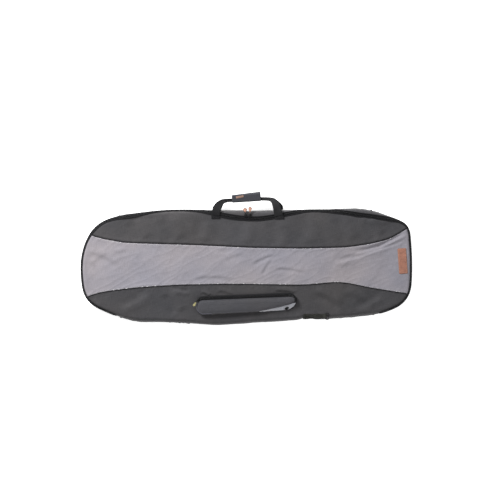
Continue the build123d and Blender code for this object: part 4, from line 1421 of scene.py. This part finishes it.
def build_pocket():
    """Sides in dark and light cloth, zip over the top edge and round the right end, padded face."""
    loop, normal, face_inset, has_zip = pocket_loops()
    x, y = pocket_place(loop[:, 0], loop[:, 1])
    ground = front_points(x, y)[:, 2]
    rim_z = POCKET_FACE_Z - 0.0012 - 0.0015 * (normal[:, 1] < -0.3)
    top_inset = has_zip * 0.0006 + (1 - has_zip) * (face_inset - 0.0006)
    share = np.linspace(0, 1, 9)
    ripple = 0.0006 * np.sin(np.arange(POCKET_COUNT) * 0.9) + 0.0006 * np.sin(np.arange(POCKET_COUNT) * 0.37)
    insets = [top_inset * t**1.6 + (ripple - 0.0012) * math.sin(math.pi * t) for t in share]
    heights = [ground - 0.0008 + (rim_z - ground + 0.0008) * t**0.9 for t in share]
    wedge = (loop[:, 0] > 0.060) & (normal[:, 1] < -0.24)
    plain = ~wedge & ~(has_zip > 0.5)
    parts = (("light", wedge, POCKET_LIGHT), ("zip", ~wedge & ~plain, BINDING), ("dark", plain, DARK))
    for word, mask, material in parts:
        first = int(np.flatnonzero(mask & ~np.roll(mask, 1))[0])
        picked = (first + np.arange(int(mask.sum()) + 1)) % POCKET_COUNT
        side = pocket_ring(insets, heights, loop, normal, f"pocket_side_{word}", material, picked, 0.0013)
        pale = word == "light"
        ride(side, "lid", ["pocket_gusset"] if pale else ())
    round_end = np.flatnonzero((loop[:, 0] > 0.172) & (normal[:, 0] > 0.12))
    end_line = np.stack([x, y, ground + 0.0012], 1)[round_end]
    end_cord = tube("pocket_end_cord", end_line, upward(len(end_line)), 0.0026, BINDING)
    ride(end_cord, "lid")
    cord = tube("pocket_base_cord", np.stack([x, y, ground + 0.0004], 1), upward(POCKET_COUNT),
                0.0011, BINDING, closed=True)
    ride(cord, "lid")
    left = np.flatnonzero(~(has_zip > 0.5) & (loop[:, 0] < -0.150))
    rim_x, rim_y = pocket_place(*(loop[left] - normal[left] * face_inset[left][:, None]).T)
    welt = tube("pocket_left_welt", np.stack([rim_x, rim_y, np.full(len(left), POCKET_FACE_Z + 0.0012)], 1),
                upward(len(left)), 0.0014, POCKET_EDGE)
    ride(welt, "lid")

    order = np.flatnonzero(has_zip > 0.5)
    jump = np.flatnonzero(np.diff(order) > 1)
    order = np.concatenate([order[jump[0] + 1 :], order[: jump[0] + 1]]) if len(jump) else order
    middle = (0.0006 + face_inset) / 2
    z = POCKET_FACE_Z
    outer_rows = [top_inset - 0.0024, top_inset - 0.0004, middle - 0.0008]
    outer = pocket_ring(outer_rows, [rim_z - 0.0030, rim_z + 0.0008, z + 0.0004], loop, normal,
                        "pocket_zip_tape_low", TAPE, order, 0.0008)
    ride(outer, "lid", ["pocket_zip_tape_outer"])
    inner = pocket_ring([middle + 0.0008, face_inset + 0.0010], [z + 0.0002, z + 0.0006], loop, normal,
                        "pocket_zip_tape_high", TAPE, order, 0.0008)
    ride(inner, "pocket_flap", ["pocket_zip_tape_inner"])
    for word, side, body in (("low", -1, "lid"), ("high", 1, "pocket_flap")):
        cad = "pocket_zip_coil_outer" if side < 0 else "pocket_zip_coil_inner"
        teeth_piece = pocket_teeth(f"pocket_zip_teeth_{word}", loop, normal, middle, order, side, z + 0.0012)
        ride(teeth_piece, body, [cad])
    build_pocket_face(loop, normal, face_inset, z)
    build_eyelet(pocket_grid(insets, heights, loop, normal))


def pocket_teeth(name, loop, normal, middle, order, side, z):
    """One row of small coil turns of the pocket's zip."""
    vertices, faces = [], []
    fine = np.arange(0, len(order) - 1, 0.62)
    picked = [np.interp(fine, np.arange(len(order)), values[order]) for values in
              (loop[:, 0], loop[:, 1], normal[:, 0], normal[:, 1], middle)]
    for u, v, nu, nv, mid in np.array(picked).T:
        first = len(vertices)
        for reach, rise in ((0.0030, -0.0002), (0.0018, 0.0009), (-0.0004, 0.0004), (0.0014, -0.0006)):
            for along, up in ((-0.0006, 0), (0, 0.0005), (0.0006, 0), (0, -0.0005)):
                inset = mid + side * reach
                a = u - nu * inset + nv * along
                b = v - nv * inset - nu * along
                x, y = pocket_place(np.array(a), np.array(b))
                vertices.append((float(x), float(y), z + rise + up))
        faces += rod_faces(first, 4, 4)
    return make_object(name, vertices, faces, COIL)


def over_pocket_fold(piece, replaces=()):
    """Bakes a piece's placement into its mesh and hides the CAD nodes it stands for."""
    join(piece, replaces)


def build_pocket_face(loop, normal, face_inset, z):
    """Padded face of the pocket with a rolled, stitched edge."""
    edge = loop - normal * face_inset[:, None]
    spine = np.stack([np.clip(edge[:, 0], -0.185, 0.165), np.full(len(edge), 0.0)], 1)
    share = (np.linspace(0, 1, 26) ** 1.3)[:, None, None]
    plan = edge[None] * (1 - share) + spine[None] * share
    depth = np.linalg.norm(plan - edge[None], axis=2)
    x, y = pocket_place(plan[..., 0], plan[..., 1])
    puff = 0.0042 * (1 - np.exp(-((depth / 0.011) ** 1.3)))
    height = z - 0.0006 + puff + 0.0009 * noise_at(x, y, 16, 30, 6.6) * np.clip(depth / 0.01, 0, 1)
    height = height + 0.0005 * creasing(x, y, 33.0) * np.clip(depth / 0.012, 0, 1)
    height = height - 0.0009 * np.exp(-(((depth - 0.0052) / 0.0011) ** 2))
    points = np.stack([x, y, height], -1)
    face = make_object("pocket_face_pad", points, grid_faces(26, POCKET_COUNT, closed=True), POCKET_FACE,
                       np.stack([x, y], -1), weld=MERGE)
    thicken(face, 0.0026)
    over_pocket_fold(face, ["pocket_face"])
    ring = loop - normal * (face_inset[:, None] + 0.0052)
    sx, sy = pocket_place(ring[:, 0], ring[:, 1])
    stitch_z = z - 0.0012 + 0.0042 * (1 - math.exp(-((0.0052 / 0.011) ** 1.3)))
    line = np.stack([sx, sy, np.full(len(sx), stitch_z)], 1)
    thread = stitches("pocket_face_stitching", np.concatenate([line, line[:1]]),
                      upward(len(line) + 1), THREAD_DARK)
    over_pocket_fold(thread)


def build_eyelet(wall):
    """Black drain eyelet in the pocket's sloping side, near its lower right corner."""
    row = wall[4]
    spot = int(np.argmin(np.hypot(row[:, 0] - 0.176, row[:, 1] + 0.196)))
    centre = (wall[4, spot] + wall[5, spot]) / 2
    down = unit(wall[2, spot] - wall[6, spot])
    along = unit(wall[4, (spot + 2) % POCKET_COUNT] - wall[4, spot - 2])
    up = unit(np.cross(along, down))
    up = up if up[2] > 0 else -up
    turns = np.linspace(0, 2 * math.pi, 36, endpoint=False)[:, None]
    vertices, faces = [], []
    profile = ((0.0028, 0.0009), (0.0034, 0.0020), (0.0046, 0.0026), (0.0062, 0.0022), (0.0076, 0.0002))
    for radius, lift in profile:
        oval = along * np.cos(turns) * 1.3 + down * np.sin(turns)
        vertices.extend(centre + oval * radius + up * lift)
    faces = grid_faces(len(profile), 36, closed=True).tolist()
    faces.append(list(range(36)))
    ring = make_object("pocket_drain_eyelet", vertices, faces, PLASTIC)
    ride(ring, "lid", ["pocket_eyelet"])


def build_pocket_pull():
    """The pocket's slider at the left end of its zip, with a yellow pull."""
    joint = JOINTS["pocket_pull_swing"]
    axis = Vector(joint["axis"])
    pivot = Vector(joint["pos_m"])
    forward = Vector((0, 0, 1)).cross(axis).normalized() * -1
    if forward.y > 0:
        forward = -forward
    turn = math.atan2(forward.y, forward.x) - math.pi / 2
    place = Matrix.Translation(pivot) @ Matrix.Rotation(turn, 4, "Z")
    base = place @ Matrix.Translation((0, -0.0017, -0.0032))
    body = slider("pocket_slider_cast", base, 0.0110, 0.0116, 0.0042, 0.0062)
    ride(body, "pocket_slider_body", ["pocket_slider"])
    hung = place @ Matrix.Rotation(math.radians(8.0), 4, "X")
    wire = eye("pocket_pull_eye", hung, 0.0200, 0.0064)
    ride(wire, "pocket_pull", ["pocket_pull_bail"])
    drop = teardrop("pocket_pull_drop", hung @ Matrix.Translation((0, 0.0175, 0)), 0.0200, 0.0090, GOLD)
    ride(drop, "pocket_pull", ["pocket_pull_tab"])


# --- patch and strap anchors --------------------------------------------------------
def build_patch():
    """Blank leather-look patch sewn near the right end."""
    low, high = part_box("end_patch")
    half_x, half_y = (high.x - low.x) / 2, (high.y - low.y) / 2
    u = np.linspace(-half_x, half_x, 17)[None, :]
    v = np.linspace(-half_y, half_y, 41)[:, None]
    u, v = u + 0 * v, v + 0 * u
    corner = 0.004
    over_x, over_y = np.maximum(np.abs(u) - half_x + corner, 0), np.maximum(np.abs(v) - half_y + corner, 0)
    reach = np.hypot(over_x, over_y)
    shrink = np.where(reach > corner, corner / (reach + 1e-9), 1)
    u = np.sign(u) * (np.abs(u) - over_x + over_x * shrink)
    v = np.sign(v) * (np.abs(v) - over_y + over_y * shrink)
    cosine, sine = math.cos(math.radians(3.0)), math.sin(math.radians(3.0))
    centre = Vector(((low.x + high.x) / 2 + 0.0045, 0.0065))

    def placed(a, b):
        return centre.x + a * cosine - b * sine, centre.y + a * sine + b * cosine

    x, y = placed(u, v)
    points = front_points(x, y, 0.0019)
    edge = np.minimum(half_x - np.abs(u), half_y - np.abs(v))
    worn_edge = 0.0007 * np.exp(-((edge / 0.0012) ** 2))
    seam_groove = 0.0005 * np.exp(-(((edge - 0.0035) / 0.0008) ** 2))
    points[..., 2] -= worn_edge + seam_groove
    patch = make_object("end_patch_blank", points, grid_faces(41, 17), PATCH, np.stack([x, y], -1))
    thicken(patch, 0.0016)
    ride(patch, "lid", ["end_patch"])
    loop, _ = rounded_loop(half_x - 0.0035, half_y - 0.0035, 0.002, 120)
    sx, sy = placed(loop[:, 0], loop[:, 1])
    line = front_points(sx, sy, 0.0019)
    thread = stitches("end_patch_stitching", np.concatenate([line, line[:1]]), upward(121),
                      THREAD_TAN, length=0.0030, gap=0.0014)
    ride(thread, "lid")


def build_anchors():
    """A folded webbing tab and a black ring for each end of a shoulder strap."""
    for word, sign, material in (("right", 1, OLIVE_STRAP), ("left", -1, STRAP)):
        joint = JOINTS[f"{word}_ring_swing"]
        pivot, way = Vector(joint["pos_m"]), Vector(joint["axis"]).normalized()
        along = way.cross(Vector((0, 0, 1))).normalized() * sign
        up = along.cross(way)
        place = Matrix.Translation(pivot) @ Matrix((along, way, up)).transposed().to_4x4()
        build_ring(word, place)
        build_tab(word, place, material)


def build_ring(word, place):
    """Rectangular ring of round rod with rounded corners."""
    low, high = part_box("strap_ring_right")
    span_x, span_y = high.x - low.x - 0.004, high.y - low.y - 0.004
    loop, _ = rounded_loop(span_x / 2, span_y / 2, 0.0035, 72)
    line = np.array([place @ Vector((x + span_x / 2, y, 0)) for x, y in loop])
    up = np.tile(np.array(place.to_3x3() @ Vector((0, 0, 1.0))), (72, 1))
    ring = tube(f"strap_ring_{word}_rod", line, up, 0.0018, PLASTIC, closed=True, sides=12)
    ride(ring, f"ring_{word}", [f"strap_ring_{word}"])


def tab_ground(word, x, across, lift):
    """Points on the bag under a strap tab: on the front for the right one, on the wall for the left one."""
    if word == "right":
        points = front_points(x, JOINTS["right_ring_swing"]["pos_m"][1] + across, lift)
        points[..., 2] = np.maximum(points[..., 2], 0.0925 + lift)
        return points
    hinge_side = np.flatnonzero(RIM[:, 1] < 0)
    order = hinge_side[np.argsort(RIM[hinge_side, 0])]
    index = np.interp(x, RIM[order, 0], order)
    height = JOINTS["left_ring_swing"]["pos_m"][2]
    station = np.interp(-height, -PROFILE_Z[UPPER_ROWS:], PROFILE_S[UPPER_ROWS:]) + across
    return skin(index, station, lift + side_wrinkles(np.round(index).astype(int), station))


def build_tab(word, place, material):
    """Creased webbing that lies on the bag and rises to loop round the ring's rod."""
    low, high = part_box("strap_tab_right")
    length, width = high.x - low.x - 0.004, 0.0240
    pivot = place.translation
    sign = 1 if word == "right" else -1
    rows, columns = 90, 13
    share = np.linspace(0, 1, rows)[:, None]
    t = np.linspace(-0.5, 0.5, columns)[None, :]
    for layer, (lift, skew, narrow) in enumerate(((0.0012, 0.0, 1.0), (0.0036, 0.05, 0.66))):
        half_turn = np.sin(share * 21 + layer * 1.9) * (1 - share)
        across = t * width * narrow * (0.93 + 0.07 * np.sin(share * 13 + layer))
        across = across + skew * width * np.sin(share * 9)
        x = pivot.x - sign * length * (1 - share) + sign * 0.0015 * np.sin(t * 5 + layer) * (1 - share)
        x = x + 0 * across
        fold = 0.0011 * np.sin(share * 33 + layer * 2) + 0.0016 * half_turn * t * 2
        calm = np.clip((0.85 - share) / 0.20, 0.10, 1)
        over = (lift + np.maximum(fold, -0.0008) + 0.0006 * noise_at(x, across, 80, 80, 5.5 + layer)) * calm
        over = over - 0.0010 * (1 - calm)
        ground = tab_ground(word, x, across, over)
        local_x = -length * (1 - share) + 0 * across
        level = 0.0034 if layer else -0.0034
        flat = np.stack([local_x, across * (0.86 / narrow), level + 0 * across], -1)
        turned = np.array(place.to_3x3())
        hung = flat @ turned.T + np.array(pivot)
        rise = np.clip((share - 0.89) / 0.08, 0, 1)[..., None]
        rise = rise * rise * (3 - 2 * rise)
        points = ground * (1 - rise) + hung * rise
        uv = np.stack([share * length + 0 * across, t * width + 0.5 + 0 * share], -1)
        layer_word = "over" if layer else "under"
        strap = make_object(f"strap_tab_{word}_{layer_word}", points, grid_faces(rows, columns), material, uv)
        thicken(strap, 0.0016, offset=0.0)
        ride(strap, "tub", [f"strap_tab_{word}"] if layer else ())
    turns = np.linspace(-math.pi / 2, math.pi / 2, 14)
    wrap = [(0.0034 * math.cos(a), 0.0, 0.0034 * math.sin(a)) for a in turns]
    bend = ribbon(f"strap_tab_{word}_loop", wrap, [(0, 1, 0)] * 14, [width * 0.88] * 14, material,
                  thickness=0.0016, count=24)
    bend.data.transform(place)
    ride(bend, "tub")


# --- camera, light and floor --------------------------------------------------------
LENS, SENSOR = 120.0, 36.0
VIEW_WIDTH = 2.205
VIEW_CENTRE = Vector((0.0177, 0.068, EDGE_Z * 0.9))
VIEW_ROLL = math.radians(-1.1)
FLOOR_HALF = 14.0
FLOOR_GLOW = 0.62
SKY = 0.42
# Soft lights: name, place, size and power.
LIGHTS = (("key", (-2.0, 2.3, 2.1), 1.4, 232.0), ("fill", (2.6, -1.4, 3.2), 3.0, 62.0))


def build_view():
    """Camera straight above the front, turned about a degree, with soft light from all round."""
    camera_data = bpy.data.cameras.new("camera")
    camera_data.lens = LENS
    camera_data.sensor_width = SENSOR
    camera_data.clip_end = 30.0
    camera = bpy.data.objects.new("camera", camera_data)
    bpy.context.scene.collection.objects.link(camera)
    above = VIEW_CENTRE + Vector((0, 0, VIEW_WIDTH * LENS / SENSOR))
    camera.matrix_world = Matrix.Translation(above) @ Matrix.Rotation(VIEW_ROLL, 4, "Z")
    bpy.context.scene.camera = camera

    floor_mesh = bpy.data.meshes.new("floor")
    corners = [(x * FLOOR_HALF, y * FLOOR_HALF, 0) for x, y in ((-1, -1), (1, -1), (1, 1), (-1, 1))]
    floor_mesh.from_pydata(corners, [], [(0, 1, 2, 3)])
    floor = bpy.data.objects.new("floor", floor_mesh)
    bpy.context.scene.collection.objects.link(floor)
    pale = Nodes("floor_paint")
    place = pale.tree.nodes.new("ShaderNodeTexCoord").outputs["Object"]
    shade = pale.tint(linear(250, 250, 250), pale.remap(pale.noise(place, 3.0), 0.3, 0.7, 0.995, 1.0))
    glow = {"Emission_Color": (1.0, 1.0, 1.0, 1.0), "Emission_Strength": FLOOR_GLOW}
    floor_mesh.materials.append(pale.finish(Base_Color=shade, Roughness=0.95, **glow))

    for name, place, size, power in LIGHTS:
        data = bpy.data.lights.new(name, "AREA")
        data.size = size
        data.energy = power
        lamp = bpy.data.objects.new(name, data)
        lamp.location = place
        lamp.rotation_euler = (-Vector(place)).to_track_quat("-Z", "Y").to_euler()
        bpy.context.scene.collection.objects.link(lamp)
    world = bpy.data.worlds.new("studio")
    world.use_nodes = True
    background = world.node_tree.nodes["Background"]
    background.inputs[0].default_value = (1.0, 1.0, 1.0, 1.0)
    background.inputs[1].default_value = SKY
    bpy.context.scene.world = world
    bpy.context.scene.view_settings.view_transform = "Standard"


for build in (build_view, build_front, build_seams, build_lid_inside, build_gusset, build_gusset_inside,
              build_back, build_trim, build_zip, build_handle, build_grip, build_main_pulls, build_pocket,
              build_pocket_pull, build_patch, build_anchors):
    build()
